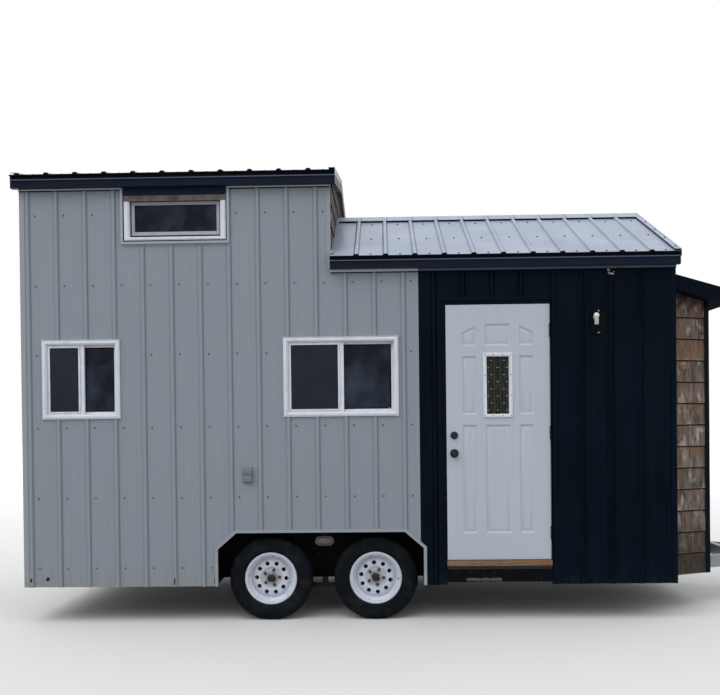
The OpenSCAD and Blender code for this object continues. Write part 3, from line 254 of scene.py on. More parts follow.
@dataclass(frozen=True)
class CoatedSheet(Finish):
    """Coil-coated steel sheet: an even satin paint with rain streaks, dust and splashed mud.

    The rib places are in millimetres: rib_place from the left end, end_rib_y from the middle of an
    end wall. The lines on the ribs' flanks are dirt and painted shade, darker on one flank; rust is on the
    cut edge at the foot.
    """

    dirt: str = "#8c8173"
    streaks: float = 0.12
    mud: float = 0.35
    rib_place: float | None = None
    end_rib_y: float = 11
    rib_pitch: float = 228.6
    rib_dirt_and_shade: str = "#5d6369"
    rib_dirt_and_shade_share: float = 0.4
    rust: float = 0.0

    def dress(self, p: Pattern) -> None:
        """Adds streaks, mud, dirt and painted shade on the ribs' flanks, rust at the cut edge and slight
        waves.

        Args:
            p: The material's nodes.
        """
        x, y, z = p.axes()
        p.lay(p.ramp(p.noise(22, (1, 1, 30), detail=5), 0.45, 0.75, 0, self.streaks), self.dirt)
        clouds = p.noise(420, (1, 1, 1.6), detail=4)
        p.lay(p.ramp(clouds, 0.35, 0.7, 0, self.streaks * 0.8), self.dirt)
        # Lines on the ribs' flanks: dirt and painted shade
        if self.rib_place is not None:
            p.lay(self.rib_dirt_and_shade_lines(p, x, y), self.rib_dirt_and_shade)
        low = p.times(p.calc("POWER", p.ramp(z, 0.28, 0.62, 1, 0), 2.2), self.mud)
        splash = p.ramp(p.noise(38, (1, 1, 2.4), detail=6), 0.4, 0.62, 0, 2)
        p.lay(p.ramp(p.times(low, splash), 0, 1), self.dirt)
        if self.rust > 0:
            spots = p.ramp(p.noise(16, (1, 1, 1.5), detail=5), 0.62, 0.66)
            p.lay(p.times(p.ramp(z, 0.29, 0.36, 1, 0), spots, self.rust), "#5b3b27")
        p.gloss(clouds, self.roughness - 0.05, self.roughness + 0.1)
        p.bump(p.noise(300, (1, 1, 1.5), detail=1), 2.0, 0.25)

    def rib_dirt_and_shade_lines(self, p: Pattern, x: Socket, y: Socket) -> Socket:
        """Marks a line on both flanks of each rib: dirt, and painted shade that is stronger on one flank.

        Args:
            p: The material's nodes.
            x: Place along the house.
            y: Place across it.

        Returns:
            A factor that is highest on the lines.
        """
        flank, half_line, soft = 0.0185, 0.002, 0.006
        facing = add_node(p.tree, "NewGeometry").outputs["True Normal"]
        to_side = add_node(p.tree, "SeparateXYZ", {0: facing}).outputs[0]
        end_wall = p.calc("GREATER_THAN", p.calc("ABSOLUTE", to_side), 0.8)
        long_way = p.calc("SUBTRACT", x, (self.rib_place - LEFT_TO_MIDDLE) / 1000)
        end_way = p.calc("SUBTRACT", y, self.end_rib_y / 1000)
        across = add_node(p.tree, "Mix", {0: end_wall, 2: long_way, 3: end_way}).outputs[0]
        pitch = self.rib_pitch / 1000
        share = p.calc("FRACT", p.calc("ADD", p.calc("DIVIDE", across, pitch), 0.5))
        off = p.times(p.calc("SUBTRACT", share, 0.5), pitch)
        beside = p.calc("ABSOLUTE", p.calc("SUBTRACT", p.calc("ABSOLUTE", off), flank))
        line = p.ramp(beside, half_line, soft, self.rib_dirt_and_shade_share, 0)
        # Painted shade: the line is stronger on one flank of each rib, as if lit from the other side
        return p.times(line, p.ramp(off, -0.01, 0.01, 0.55, 1.25))


@dataclass(frozen=True)
class BareSteel(Finish):
    """Steel section, painted or galvanised, with rust where water stands."""

    rust: str = "#4a3226"
    rust_share: float = 0.25
    grain: float = 24.0

    def dress(self, p: Pattern) -> None:
        """Adds blotches of rust that are rougher and a little raised.

        Args:
            p: The material's nodes.
        """
        edge = 0.72 - 0.42 * self.rust_share
        rusty = p.ramp(p.noise(self.grain, detail=6), edge, edge + 0.09)
        fine = p.noise(3, detail=3)
        p.lay(rusty, p.mix(p.ramp(fine, 0.3, 0.7), self.rust, "#2b1d16"))
        p.drive("Roughness", p.ramp(rusty, 0, 1, self.roughness, 0.85))
        if self.metallic > 0:
            p.drive("Metallic", p.ramp(rusty, 0, 1, self.metallic, 0))
        p.bump(p.times(rusty, fine), 0.6, 0.6)


@dataclass(frozen=True)
class SawnWood(Finish):
    """Sawn wood: grain along one axis, a tone that differs from board to board, open pores."""

    dark: str = "#7b5836"
    along: Along = Along.X
    grain: float = 7.0
    faded: str = "#8b8580"
    fade: float = 0.0
    uneven: float = 0.28

    def dress(self, p: Pattern) -> None:
        """Adds grain lines, board tones, greying and a ribbed relief.

        Args:
            p: The material's nodes.
        """
        stretch = [1.0, 1.0, 1.0]
        stretch[self.along.value] = 28.0
        lines = p.noise(self.grain, stretch, detail=5)
        p.lay(p.ramp(lines, 0.42, 0.66), self.dark)
        p.lay(p.ramp(p.noise(self.grain * 7, stretch, detail=2), 0.4, 0.8, 0, 0.5), self.dark)
        lifted = p.ramp(p.tone(), 0, 1, 1 - self.uneven, 1 + self.uneven)
        bright = add_node(p.tree, "HueSaturation", {"Value": lifted, "Color": p.base()})
        p.drive("Base Color", bright.outputs[0])
        p.lay(p.ramp(p.noise(60, (1, 1, 3), detail=4), 0.35, 0.65, 0, self.fade), self.faded)
        p.gloss(lines, self.roughness, self.roughness + 0.1)
        p.bump(lines, 0.8, 0.5)


@dataclass(frozen=True)
class TarredPly(SawnWood):
    """Plywood deck whose outer edge and underside are coated black."""

    edge_y: float = 1.211
    under_z: float = 0.411

    def dress(self, p: Pattern) -> None:
        """Adds the wood, then the coat on the edge and under the deck.

        Args:
            p: The material's nodes.
        """
        super().dress(p)
        _, y, z = p.axes()
        outer = p.calc("GREATER_THAN", p.calc("ABSOLUTE", y), self.edge_y)
        p.lay(p.calc("MAXIMUM", outer, p.calc("LESS_THAN", z, self.under_z)), "#0d1014")


@dataclass(frozen=True)
class CedarShingle(SawnWood):
    """Split cedar shingle: warm where the course above sheltered it, silvered towards its butt, with painted
    shadows and highlights at the butts and painted shade under the roof.
    """

    foot_z: float = 0.285
    course_h: float = 0.177
    warm: str = "#785843"
    warmth: float = 0.75
    sheltered_z: float = 2.0
    # Height above which painted shade from the roof darkens the wall
    roof_shade_z: float = 2.52

    def dress(self, p: Pattern) -> None:
        """Adds the grain, then the weathering course by course, knots, pale splits, stains, darkening towards
        the foot, painted shade under the roof, and a painted shadow and highlight at each butt.

        Args:
            p: The material's nodes.
        """
        super().dress(p)
        height = p.axes()[2]
        blotch = p.noise(60, (1, 1, 1.7), detail=5)

        def ragged(value: Socket, by: float) -> Socket:
            """Moves a value up and down with the blotches."""
            return p.calc("ADD", value, p.ramp(blotch, 0.3, 0.7, -by, by))

        courses = p.calc("DIVIDE", p.calc("SUBTRACT", height, self.foot_z), self.course_h)
        share = p.calc("FRACT", courses)
        shelter = p.ramp(ragged(share, 0.55), 0.3, 1.0, 0, self.warmth)
        under_roof = p.ramp(ragged(height, 0.4), self.sheltered_z - 0.3, self.sheltered_z + 0.3, 0, 0.8)
        shelter = p.calc("MAXIMUM", shelter, under_roof)
        own = p.ramp(p.calc("FRACT", p.times(p.tone(), 7.31)), 0, 1, 0.25, 1.2)
        shelter = p.times(shelter, p.ramp(height, 0.5, 1.3, 0.45, 1), own)
        streak = p.noise(7, (1, 1, 24), detail=4)
        warm = p.mix(p.ramp(streak, 0.4, 0.7), self.warm, "#99755a")
        p.lay(shelter, p.mix(p.ramp(p.tone(), 0, 1, 0, 0.6), warm, "#5a3d2b"))
        p.lay(p.ramp(p.noise(85, (1, 1, 1.5), detail=5), 0.57, 0.66, 0, 0.65), "#b9aaa1")
        p.lay(p.ramp(p.noise(16, (1, 1, 9), detail=4), 0.54, 0.66, 0, 0.75), "#38291f")
        # Darker towards the foot of the wall
        p.lay(p.ramp(ragged(height, -0.15), 0.45, 0.85, 0.75, 0), "#2c231d")
        knot = add_node(p.tree, "TexVoronoi", {"Vector": p.place(), "Scale": 6.0}).outputs[0]
        p.lay(p.ramp(knot, 0.05, 0.1, 0.9, 0), "#2c1c16")
        # Painted shade under the roof above
        p.lay(p.ramp(ragged(height, 0.12), self.roof_shade_z - 0.12, self.roof_shade_z + 0.06, 0, 0.85), "#271a15")
        # Painted shadow just under each butt
        p.lay(p.ramp(share, 0.91, 0.955, 0, 0.95), "#100b09")
        # Painted highlight along the edge of each butt
        p.lay(p.ramp(share, 0.0, 0.05, 0.35, 0), "#a2968a")


@dataclass(frozen=True)
class MouldedPlastic(Finish):
    """Moulded or extruded plastic: even colour, a faint orange peel and dust in the corners."""

    dust: str = "#77716a"
    dusty: float = 0.2
    peel: float = 2.5

    def dress(self, p: Pattern) -> None:
        """Adds blotches of dust and the peel of the surface.

        Args:
            p: The material's nodes.
        """
        film = p.noise(55, (1, 1, 2), detail=6)
        p.lay(p.ramp(film, 0.45, 0.75, 0, self.dusty), self.dust)
        p.gloss(film, self.roughness - 0.05, self.roughness + 0.12)
        p.bump(p.noise(self.peel, detail=1), 0.1, 0.15)


@dataclass(frozen=True)
class WindowPane(Finish):
    """Float glass before a dark room: near black with blotches of painted reflection, a sharp reflection and
    a film of dust.
    """

    clear: float = 0.06

    def dress(self, p: Pattern) -> None:
        """Adds blotches of painted reflection, dried drops that dull the gloss and a very slight waviness.

        Args:
            p: The material's nodes.
        """
        p.shader.inputs["Transmission Weight"].default_value = self.clear
        # Painted reflection: lighter blue-grey blotches in the dark glass
        painted_reflection = p.ramp(p.noise(210, (1, 1, 1.3), detail=4), 0.42, 0.72)
        p.drive("Base Color", p.mix(painted_reflection, "#040c1a", "#323d4e"))
        film = p.noise(26, (1, 1, 2.5), detail=5)
        p.drive("Roughness", p.ramp(film, 0.5, 0.8, self.roughness, self.roughness + 0.12))
        p.bump(p.noise(240, detail=1), 0.6, 0.1)


@dataclass(frozen=True)
class InsectScreen(Finish):
    """Woven fibreglass screen: matt dark grey; its 1.4 mm weave is drawn at 5 mm so that it shows."""

    weave: float = 5.0

    def dress(self, p: Pattern) -> None:
        """Adds the wires of the weave as fine lines in colour and relief.

        Args:
            p: The material's nodes.
        """
        turns = [p.times(along, 1000 / self.weave) for along in p.axes()[::2]]
        nearest = p.calc("MINIMUM", *(p.calc("PINGPONG", turn, 0.5) for turn in turns))
        wire = p.ramp(nearest, 0.08, 0.2, 1, 0)
        p.lay(p.ramp(p.noise(190, (1, 1, 1.4), detail=3), 0.35, 0.65), "#262b34")
        p.lay(wire, "#30353f")
        p.bump(wire, 0.6, 0.4)


@dataclass(frozen=True)
class TyreRubber(Finish):
    """Carbon-black rubber: matt, greyed by road dust in the tread and low on the sidewall."""

    def dress(self, p: Pattern) -> None:
        """Adds the dust film and a fine moulded grain.

        Args:
            p: The material's nodes.
        """
        film = p.noise(70, detail=6)
        p.lay(p.ramp(film, 0.42, 0.72, 0, 0.3), "#3b3b3c")
        p.gloss(film, self.roughness - 0.1, self.roughness + 0.12)
        p.bump(p.noise(2.4, detail=2), 0.15, 0.3)


@dataclass(frozen=True)
class WheelEnamel(Finish):
    """Stove-enamelled steel wheel: glossy off-white with a rusty hub, brake dust and chips."""

    axle_x: float = 0.0
    axle_z: float = 0.33
    hub_r: float = 35.0

    def dress(self, p: Pattern) -> None:
        """Adds rust round the hub, dust in the disc's valleys and a few chips.

        Args:
            p: The material's nodes.
        """
        x, _, z = p.axes()
        dx, dz = p.calc("SUBTRACT", x, self.axle_x), p.calc("SUBTRACT", z, self.axle_z)
        radius = p.calc("SQRT", p.calc("ADD", p.times(dx, dx), p.times(dz, dz)))
        film = p.noise(34, detail=6)
        edge = p.calc("ADD", radius, p.ramp(film, 0.2, 0.8, -0.012, 0.012))
        hub = p.ramp(edge, self.hub_r / 1000 - 0.004, self.hub_r / 1000 + 0.006, 1, 0)
        p.lay(p.ramp(film, 0.48, 0.72, 0, 0.28), "#7b756d")
        p.lay(p.ramp(edge, 0.05, 0.085, 0.35, 0), "#6d5444")
        p.lay(p.ramp(p.noise(9, detail=5), 0.71, 0.73, 0, 0.8), "#54402f")
        p.lay(hub, "#2c1f19")
        p.drive("Roughness", p.ramp(hub, 0, 1, self.roughness, 0.85))


@dataclass(frozen=True)
class ReededGlass(Finish):
    """Reeded patterned glass over a dark room: vertical flutes with a painted highlight along each,
    brown-green, glossy.
    """

    reed: float = 9.0

    def dress(self, p: Pattern) -> None:
        """Adds a painted highlight along each flute, and the flutes' rounded relief.

        Args:
            p: The material's nodes.
        """
        flute = p.times(p.calc("PINGPONG", p.times(p.axes()[0], 1000 / self.reed), 0.5), 2)
        blur = p.ramp(p.noise(30, (0.3, 1, 2.5), detail=4), 0.35, 0.7)
        # Painted highlight along each flute
        p.lay(p.times(flute, blur), "#42463a")
        p.bump(flute, 1.2, 0.6)


# Grey coil-coated siding: reads as a flat mid grey with soft streaks, and dirt and painted shade along the
# ribs
GREY_SHEET = CoatedSheet("coil_coated_steel_grey", "#868f98", 0.42, specular=0.35, rib_place=62)
# Black coil-coated siding: blue-black, the ribs catch a dull line of light; the dark lines on their flanks
# are dirt and painted shade
BLACK_SHEET = CoatedSheet(
    "coil_coated_steel_black", "#010b16", 0.32, specular=0.035, dirt="#14202b", streaks=0.22, mud=0.25,
    rib_place=3272, end_rib_y=11, rib_dirt_and_shade="#000102", rib_dirt_and_shade_share=0.6, rust=0.3,
)
# Roof sheet in a paler grey that mirrors the sky; its blue tint is a painted sky reflection, and the dark
# lines on its ribs are dirt and a painted reflection
ROOF_SHEET = CoatedSheet(
    "coil_coated_steel_roof", "#929eb1", 0.34, specular=0.4, dirt="#77706a", streaks=0.15, mud=0,
    rib_place=2670, rib_dirt_and_shade="#3c4350", rib_dirt_and_shade_share=0.75,
)
# Folded trim of the same grey paint, cleaner and so a shade lighter than the sheets
GREY_FOLD = CoatedSheet("folded_coated_steel_grey", "#92979f", 0.38, specular=0.35, mud=0.3)
# Folded black trim
BLACK_FOLD = CoatedSheet(
    "folded_coated_steel_black", "#030d18", 0.34, specular=0.04, dirt="#16212b", streaks=0.12, mud=0.25
)
# Eave boards clad in dark blue-black metal
EAVE_METAL = CoatedSheet(
    "folded_coated_steel_eave", "#121c2b", 0.33, specular=0.05, dirt="#333943", streaks=0.12, mud=0
)
# Drip face under the roof sheets: painted darker than the fascia for the shade the sheets cast on it; the
# foam closures and the painted shadow strips under the channels use it too
SHADED_DRIP_METAL = CoatedSheet(
    "folded_coated_steel_drip", "#030812", 0.45, specular=0.05, dirt="#0e141d", streaks=0.1, mud=0
)
# Lips of the eave's folds and of the channel over the black siding: a lighter grey that is a painted
# highlight on their edges
HIGHLIT_LIP_METAL = CoatedSheet(
    "chalky_coated_steel_lip", "#566071", 0.45, specular=0.2, dirt="#5a5d60", streaks=0.2, mud=0
)
# Channel round the loft window: the same fold in a lighter grey
PALE_FOLD = CoatedSheet("pale_coated_steel_fold", "#9ea2aa", 0.4, specular=0.3, mud=0)
# Lip of the channel over the grey siding and trim on the tall wall's edge: a pale grey that is a painted
# highlight
HIGHLIT_PALE_LIP = CoatedSheet("rubbed_coated_steel_lip", "#c3c7cf", 0.5, dirt="#77726c", mud=0)
# Flat roof of the nose: matt black boards, dark on their underside too
NOSE_PAINT = CoatedSheet(
    "matt_painted_boards", "#0b111b", 0.85, specular=0.03, dirt="#1c232d", streaks=0.1, mud=0
)
# Painted trailer steel with rust at its welds
TRAILER_STEEL = BareSteel(
    "painted_rolled_steel", "#07080b", 0.6, specular=0.06, rust="#2a2422", rust_share=0.3
)
# Axles and springs: darker, drier rust
AXLE_STEEL = BareSteel("rusted_forged_steel", "#151414", 0.65, specular=0.25, rust_share=0.55)
# Galvanised tongue: dull zinc grey
TONGUE_ZINC = BareSteel("galvanised_steel", "#8d9095", 0.45, 0.6, rust_share=0.12)
# Zinc-plated screws that have dulled
SCREW_ZINC = BareSteel("zinc_plated_screw", "#53585e", 0.45, 0.5, rust_share=0.2, grain=3)
# Screws painted to match the black sheet
SCREW_BLACK = BareSteel("painted_screw_black", "#0c141d", 0.45, specular=0.05, rust_share=0.15, grain=3)
# Framing and inner faces of the walls: pale spruce
SPRUCE = SawnWood("sawn_spruce", "#b8925f", 0.7, dark="#94703f", along=Along.Z)
# Floors and roof decks: rotary-cut plywood with long lazy grain
PLYWOOD = SawnWood("spruce_plywood", "#b59a70", 0.65, dark="#94774c", grain=14)
# Floor deck, whose edge and underside carry a black bitumen coat
TARRED_PLY = TarredPly("bitumen_coated_plywood", "#b59a70", 0.65, dark="#94774c", grain=14)
# Door sill: bare pine, sun-browned and scuffed grey
SILL_PINE = SawnWood(
    "bare_weathered_pine", "#9a7049", 0.75, dark="#5f4428", grain=5, faded="#8b7a66", fade=0.45
)
# Shingles of the right end and the nose: split cedar, warm under each butt and silvered below it, with
# painted shadows and highlights at the butts and painted shade under the roof
CEDAR = CedarShingle(
    "split_cedar", "#77695d", 0.78, specular=0.2, dark="#4a3d33", along=Along.Z, grain=6, uneven=0.55,
    faded="#8f8880", fade=0.55,
)
# Shingles of the tall side wall, out in the weather over the lower roof: greyer all over from the weather and
# darker all over for painted shade
CEDAR_HIGH = CedarShingle(
    "silvered_cedar_painted_shade", "#5c5353", 0.8, specular=0.1, dark="#2c2226", along=Along.Z, grain=6, uneven=0.35,
    faded="#787379", fade=0.6, warmth=0.2, sheltered_z=9.0, roof_shade_z=9.0,
)
# Window frames: white extruded vinyl with a little road dust
VINYL = MouldedPlastic("extruded_vinyl", "#d6d9e0", 0.38, dusty=0.18)
# Sash of the loft window: white vinyl written in grey, the shade of the eave on it painted into its colour
SHADED_VINYL = MouldedPlastic("vinyl_painted_shade", "#a5a8b2", 0.5, specular=0.3, dusty=0.25)
# Head of the loft window: stained brown by what runs off the eave, and darkened by painted shade under the
# flashing
STAINED_SHADED_VINYL = MouldedPlastic(
    "stained_vinyl_painted_shade", "#665d5b", 0.7, specular=0.15, dust="#3e302c", dusty=0.85, peel=9
)
# Glazing gaskets and weatherstrips: matt black rubber
GASKET = MouldedPlastic("extruded_rubber_gasket", "#0c0e11", 0.75, specular=0.15, dusty=0.1)
# Panes: dark and glossy, with the dim room behind them and blotches of painted reflection
PANE = WindowPane("float_glass", "#0a111b", 0.06, specular=0.12)
# Screens: matt dark grey
SCREEN = InsectScreen("woven_fibreglass_screen", "#1b2029", 0.8, specular=0.05)
# Door leaf: pressed steel in white enamel, a cool pale grey in this light
DOOR_ENAMEL = CoatedSheet(
    "enamelled_pressed_steel", "#b3bbc5", 0.4, specular=0.35, dirt="#8d8c88", streaks=0.08, mud=0.12
)
# Rim of the door's glass: moulded white plastic
LITE_PLASTIC = MouldedPlastic("moulded_abs_white", "#d4d8de", 0.35, dusty=0.1)
# Came strips: dull brass between the pieces of glass
CAME = BareSteel("brass_came", "#4b4a3a", 0.4, 0.4, rust="#2f2b20", rust_share=0.2, grain=3)
# Bright solder points on the cames
SOLDER = BareSteel("tinned_solder", "#a5a892", 0.4, 0.2, rust="#7a7664", rust_share=0.1, grain=3)
# Glass of the door: dark, with a painted highlight along each flute
DOOR_GLASS = ReededGlass("reeded_glass", "#10130f", 0.12, specular=0.12)
# Foam strip in the gap at the hinge side: pinkish, with road dust
FOAM_STRIP = MouldedPlastic("foam_weatherstrip", "#b9a59f", 0.8, dusty=0.3)
# Mud that has dried on the rail under the door: matt and dusty
DRIED_MUD = SawnWood("dried_mud", "#57524d", 0.95, specular=0.1, dark="#3c3835", grain=12)
# Knob and lock: dark oiled bronze
BRONZE = BareSteel("oiled_bronze", "#1d1a1a", 0.42, 0.6, rust="#3b2d22", rust_share=0.2, grain=8)
# Lamp plate and door frame: black powder coat
LAMP_PAINT = BareSteel(
    "powder_coated_aluminium_black", "#060a10", 0.42, specular=0.05, rust_share=0.05
)
# Bare bulb and the sleeve that holds it
BULB = MouldedPlastic("opal_glass", "#e6e7e2", 0.15, dusty=0.1)
SLEEVE = MouldedPlastic("moulded_lamp_holder", "#b4b7b4", 0.4, dusty=0.3)
# Outlet box and lids: dull cast metal
OUTLET_CAST = BareSteel("cast_zinc_cover", "#6b7279", 0.5, 0.35, rust_share=0.1, grain=10)
# Marker lamps: clear lens greyed by dust, in a pale rubber rim
MARKER_LENS = MouldedPlastic("moulded_acrylic_lens", "#4a4440", 0.25, dusty=0.4)
MARKER_RIM = MouldedPlastic("weathered_rubber_rim", "#6a6c70", 0.6, specular=0.2, dusty=0.3)
# Tyres: blue-black rubber under road dust
TYRE = TyreRubber("tyre_rubber", "#090e14", 0.75, specular=0.08)
# Wheel nuts and hub caps: bare steel, brown with rust
HUB_STEEL = BareSteel("rusted_turned_steel", "#2a2826", 0.4, 0.6, rust="#2b211c", rust_share=0.4, grain=12)


@dataclass
class Shape:
    """Gathers the points and faces of one piece, in millimetres from the left end of the house."""

    points: list[Vector] = field(default_factory=list)
    faces: list[tuple[int, ...]] = field(default_factory=list)
    tones: list[float] = field(default_factory=list)
    tone: float = 0.5

    def add(self, points: Sequence[Point], faces: Sequence[Sequence[int]]) -> None:
        """Adds points and the faces between them.

        Args:
            points: Places in millimetres.
            faces: Numbers of the corners of each face.
        """
        base = len(self.points)
        self.points += [Vector(p) for p in points]
        self.faces += [tuple(base + i for i in f) for f in faces]
        self.tones += [self.tone] * len(faces)

    def loft(self, loops: Sequence[Sequence[Point]], caps: bool = True, closed: bool = False) -> None:
        """Adds the skin through a row of loops that have equally many points.

        Args:
            loops: The loops in order.
            caps: Closes the first and the last loop with a face.
            closed: Joins the last loop to the first instead.
        """
        n, m = len(loops[0]), len(loops)
        faces: list[tuple[int, ...]] = []
        for i in range(m if closed else m - 1):
            a, b = i * n, (i + 1) % m * n
            faces += [(a + k, a + (k + 1) % n, b + (k + 1) % n, b + k) for k in range(n)]
        if caps and not closed:
            faces += [tuple(range(n)), tuple(range((m - 1) * n, m * n))]
        self.add([p for loop in loops for p in loop], faces)

    def block(self, low: Point, high: Point) -> None:
        """Adds a block between two corners."""
        flat = corners((low[0], high[0], low[1], high[1]))
        self.loft([[(x, y, z) for x, y in flat] for z in (low[2], high[2])])

    def dished(self, box: Box, rows: Rows) -> None:
        """Adds a body on the front wall whose outline shrinks as it stands out.

        Args:
            box: Left, right, foot and top.
            rows: How much smaller it is all round and how far it stands out of the siding.
        """
        self.loft([[(x, -PLAN.half_w - proud, z) for x, z in corners(box, i)] for i, proud in rows])

    def prism(self, outline: Sequence[Point], offset: Point) -> None:
        """Adds a prism: an outline in space and a copy of it moved by an offset."""
        push = Vector(offset)
        self.loft([[Vector(p) for p in outline], [Vector(p) + push for p in outline]])

    def strip(self, x0: float, x1: float, section: Rows, s: int) -> None:
        """Adds a bar along one long side; its section is the distance from the middle and the height."""
        self.prism([(x0, s * u, w) for u, w in section], (x1 - x0, 0, 0))

    def turned(
        self, profile: Rows, centre: Point, axis: Point, steps: int = 24, start: float = 0.0
    ) -> None:
        """Adds a turned body.

        Args:
            profile: Radius and place along the axis, from one end to the other.
            centre: Where the axis starts.
            axis: Direction of the axis.
            steps: Number of sides.
            start: Angle of the first point in degrees.
        """
        out = Vector(axis).normalized()
        side = out.orthogonal().normalized()
        up = out.cross(side)
        turns = [radians(start + 360 * i / steps) for i in range(steps)]
        self.loft([[Vector(centre) + out * v + (side * cos(t) + up * sin(t)) * max(r, 0.05) for t in turns]
                   for r, v in profile])

    def rod(self, path: Sequence[Point], radius: float, steps: int = 10) -> None:
        """Adds a round rod.

        Args:
            path: Points along its middle.
            radius: Its radius.
            steps: Number of sides.
        """
        points = [Vector(p) for p in path]
        turns = [tau * k / steps for k in range(steps)]
        loops = []
        side = (points[1] - points[0]).orthogonal().normalized()
        for i, point in enumerate(points):
            ahead = (points[min(i + 1, len(points) - 1)] - points[max(i - 1, 0)]).normalized()
            side = (side - ahead * side.dot(ahead)).normalized()
            up = ahead.cross(side)
            loops.append([point + (side * cos(t) + up * sin(t)) * radius for t in turns])
        self.loft(loops)

    def ring(self, box: Box, widths: Box, profile: Rows, to_y: Callable[[float], float]) -> None:
        """Adds a mitred frame round an upright rectangle.

        Args:
            box: Left, right, foot and top of the outside of the frame.
            widths: Width of the frame on the left, right, foot and top.
            profile: Share of the width from the outside and distance that it stands out.
            to_y: Turns that distance into a Y.
        """
        x0, x1, z0, z1 = box
        loops = []
        for share, proud in profile:
            left, right, foot, top = (share * w for w in widths)
            flat = corners((x0 + left, x1 - right, z0 + foot, z1 - top))
            loops.append([(x, to_y(proud), z) for x, z in flat])
        self.loft(loops, closed=True)

    def build(
        self, name: str, finish: Finish, rider: Rider = Rider.HOUSE, smooth: float = 32.0,
        bevel: float = 0.0, stands_for: Sequence[str] = (), slot: str | None = None,
    ) -> None:
        """Makes the object, puts its finish on and lets it ride.

        Args:
            name: Name of the piece.
            finish: Its finish.
            rider: The body that it rides on.
            smooth: Edges sharper than this angle in degrees stay sharp.
            bevel: Radius of its rounded edges in millimetres.
            stands_for: CAD nodes that the piece replaces.
            slot: The record's material slot of the piece; not used.
        """
        shift = Vector((LEFT_TO_MIDDLE, 0, 0))
        mesh = bpy.data.meshes.new(name)
        mesh.from_pydata([(p - shift) / 1000 for p in self.points], [], self.faces)
        tones = mesh.attributes.new("tone", "FLOAT", "FACE")
        tones.data.foreach_set("value", self.tones)
        grid = bmesh.new()
        grid.from_mesh(mesh)
        bmesh.ops.recalc_face_normals(grid, faces=grid.faces)
        grid.to_mesh(mesh)
        grid.free()
        mesh.polygons.foreach_set("use_smooth", [True] * len(mesh.polygons))
        mesh.set_sharp_from_angle(angle=radians(smooth))
        mesh.materials.append(finish.material())
        piece = bpy.data.objects.new(name, mesh)
        bpy.context.scene.collection.objects.link(piece)
        if bevel > 0:
            rounding = piece.modifiers.new("rounded_edges", "BEVEL")
            rounding.width = bevel / 1000
            rounding.segments = 2
            rounding.limit_method = "ANGLE"
            rounding.angle_limit = radians(40)
        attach(piece, rider.value)
        if stands_for:
            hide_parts(*stands_for)
        LOG.info("%s: %d faces on %s, %s", name, len(self.faces), rider.value, finish.name)


@dataclass
class HousePlan:
    """Sizes that the pieces share, in millimetres, as the CAD source names them."""

    body_l: float = 5160
    half_w: float = 1220
    tall_l: float = 2465
    skirt_z: float = 285
    grey_l: float = 3153
    tall_eave_z: float = 3540
    lower_eave_z: float = 2872
    tall_slope: float = 2 / 12
    lower_slope: float = 5 / 12
    eave_y: float = 1295
    tall_over: float = 45
    lower_over: float = 22
    rib_pitch: float = 228.6
    rib_h: float = 15
    sheet_t: float = 4
    tall_siding_z: float = 3452
    lower_siding_z: float = 2775
    fascia_h: float = 100
    trim_t: float = 3
    door_x: float = 3365
    door_w: float = 813
    door_h: float = 2007
    door_z: float = 479
    seam_x: float = 4196
    opening_x0: float = 3326
    opening_z1: float = 2523
    axle_mid_x: float = 2376
    wheelbase: float = 838
    well_x: float = 2362
    well_half: float = 814
    well_top_z: float = 706
    well_cut_x: float = 148
    well_cut_z: float = 128
    well_trim_w: float = 24
    nose_l: float = 425
    nose_y0: float = 895
    nose_top_z: float = 2740
    nose_roof_t: float = 118
    nose_slope: float = 2.25 / 12
    ball_x: float = 6760
    rail_y: float = 1216

    def well_edge_z(self, x: float, grow: float) -> float:
        """Gives the height of the wheel opening's edge at a place along the house.

        Args:
            x: Place from the left end.
            grow: Width added all round.

        Returns:
            The height; below the siding where there is no opening.
        """
        off = abs(x - self.well_x)
        if off > self.well_half + grow:
            return 0.0
        slope = (self.well_cut_z + grow * 0.6) / (self.well_cut_x + grow * 0.6)
        start = self.well_half - self.well_cut_x + grow * 0.4
        return self.well_top_z + grow - max(off - start, 0) * slope

    def sheets(self, side: Side) -> list[tuple[bool, float, float, float]]:
        """Lists the sheets of one long side.

        Args:
            side: The long side.

        Returns:
            For each sheet whether it is grey, where it starts and ends, and the place of a rib.
        """
        grey, black = (True, 0.0, self.grey_l, 62.0), (False, self.grey_l)
        if side is Side.BACK:
            return [grey, (*black, self.body_l, 3272.0)]
        return [grey, (*black, self.seam_x, 3272.0), (False, self.seam_x + 22, self.body_l, 4430.0)]

    def ribs(self, x0: float, x1: float, place: float) -> list[float]:
        """Lists the ribs of a sheet.

        Args:
            x0: Start of the sheet.
            x1: End of the sheet.
            place: Place of one rib, on the sheet or beyond it.

        Returns:
            The middles of the ribs.
        """
        first = place + ceil((x0 + 24 - place) / self.rib_pitch) * self.rib_pitch
        count = int((x1 - 68 - first) // self.rib_pitch) + 1
        return [first + i * self.rib_pitch for i in range(max(count, 0))]


PLAN = HousePlan()
WINDOW_BOXES = ((166, 621, 1620, 626), (2084, 908, 1620, 626), (836, 807, 3016, 370))


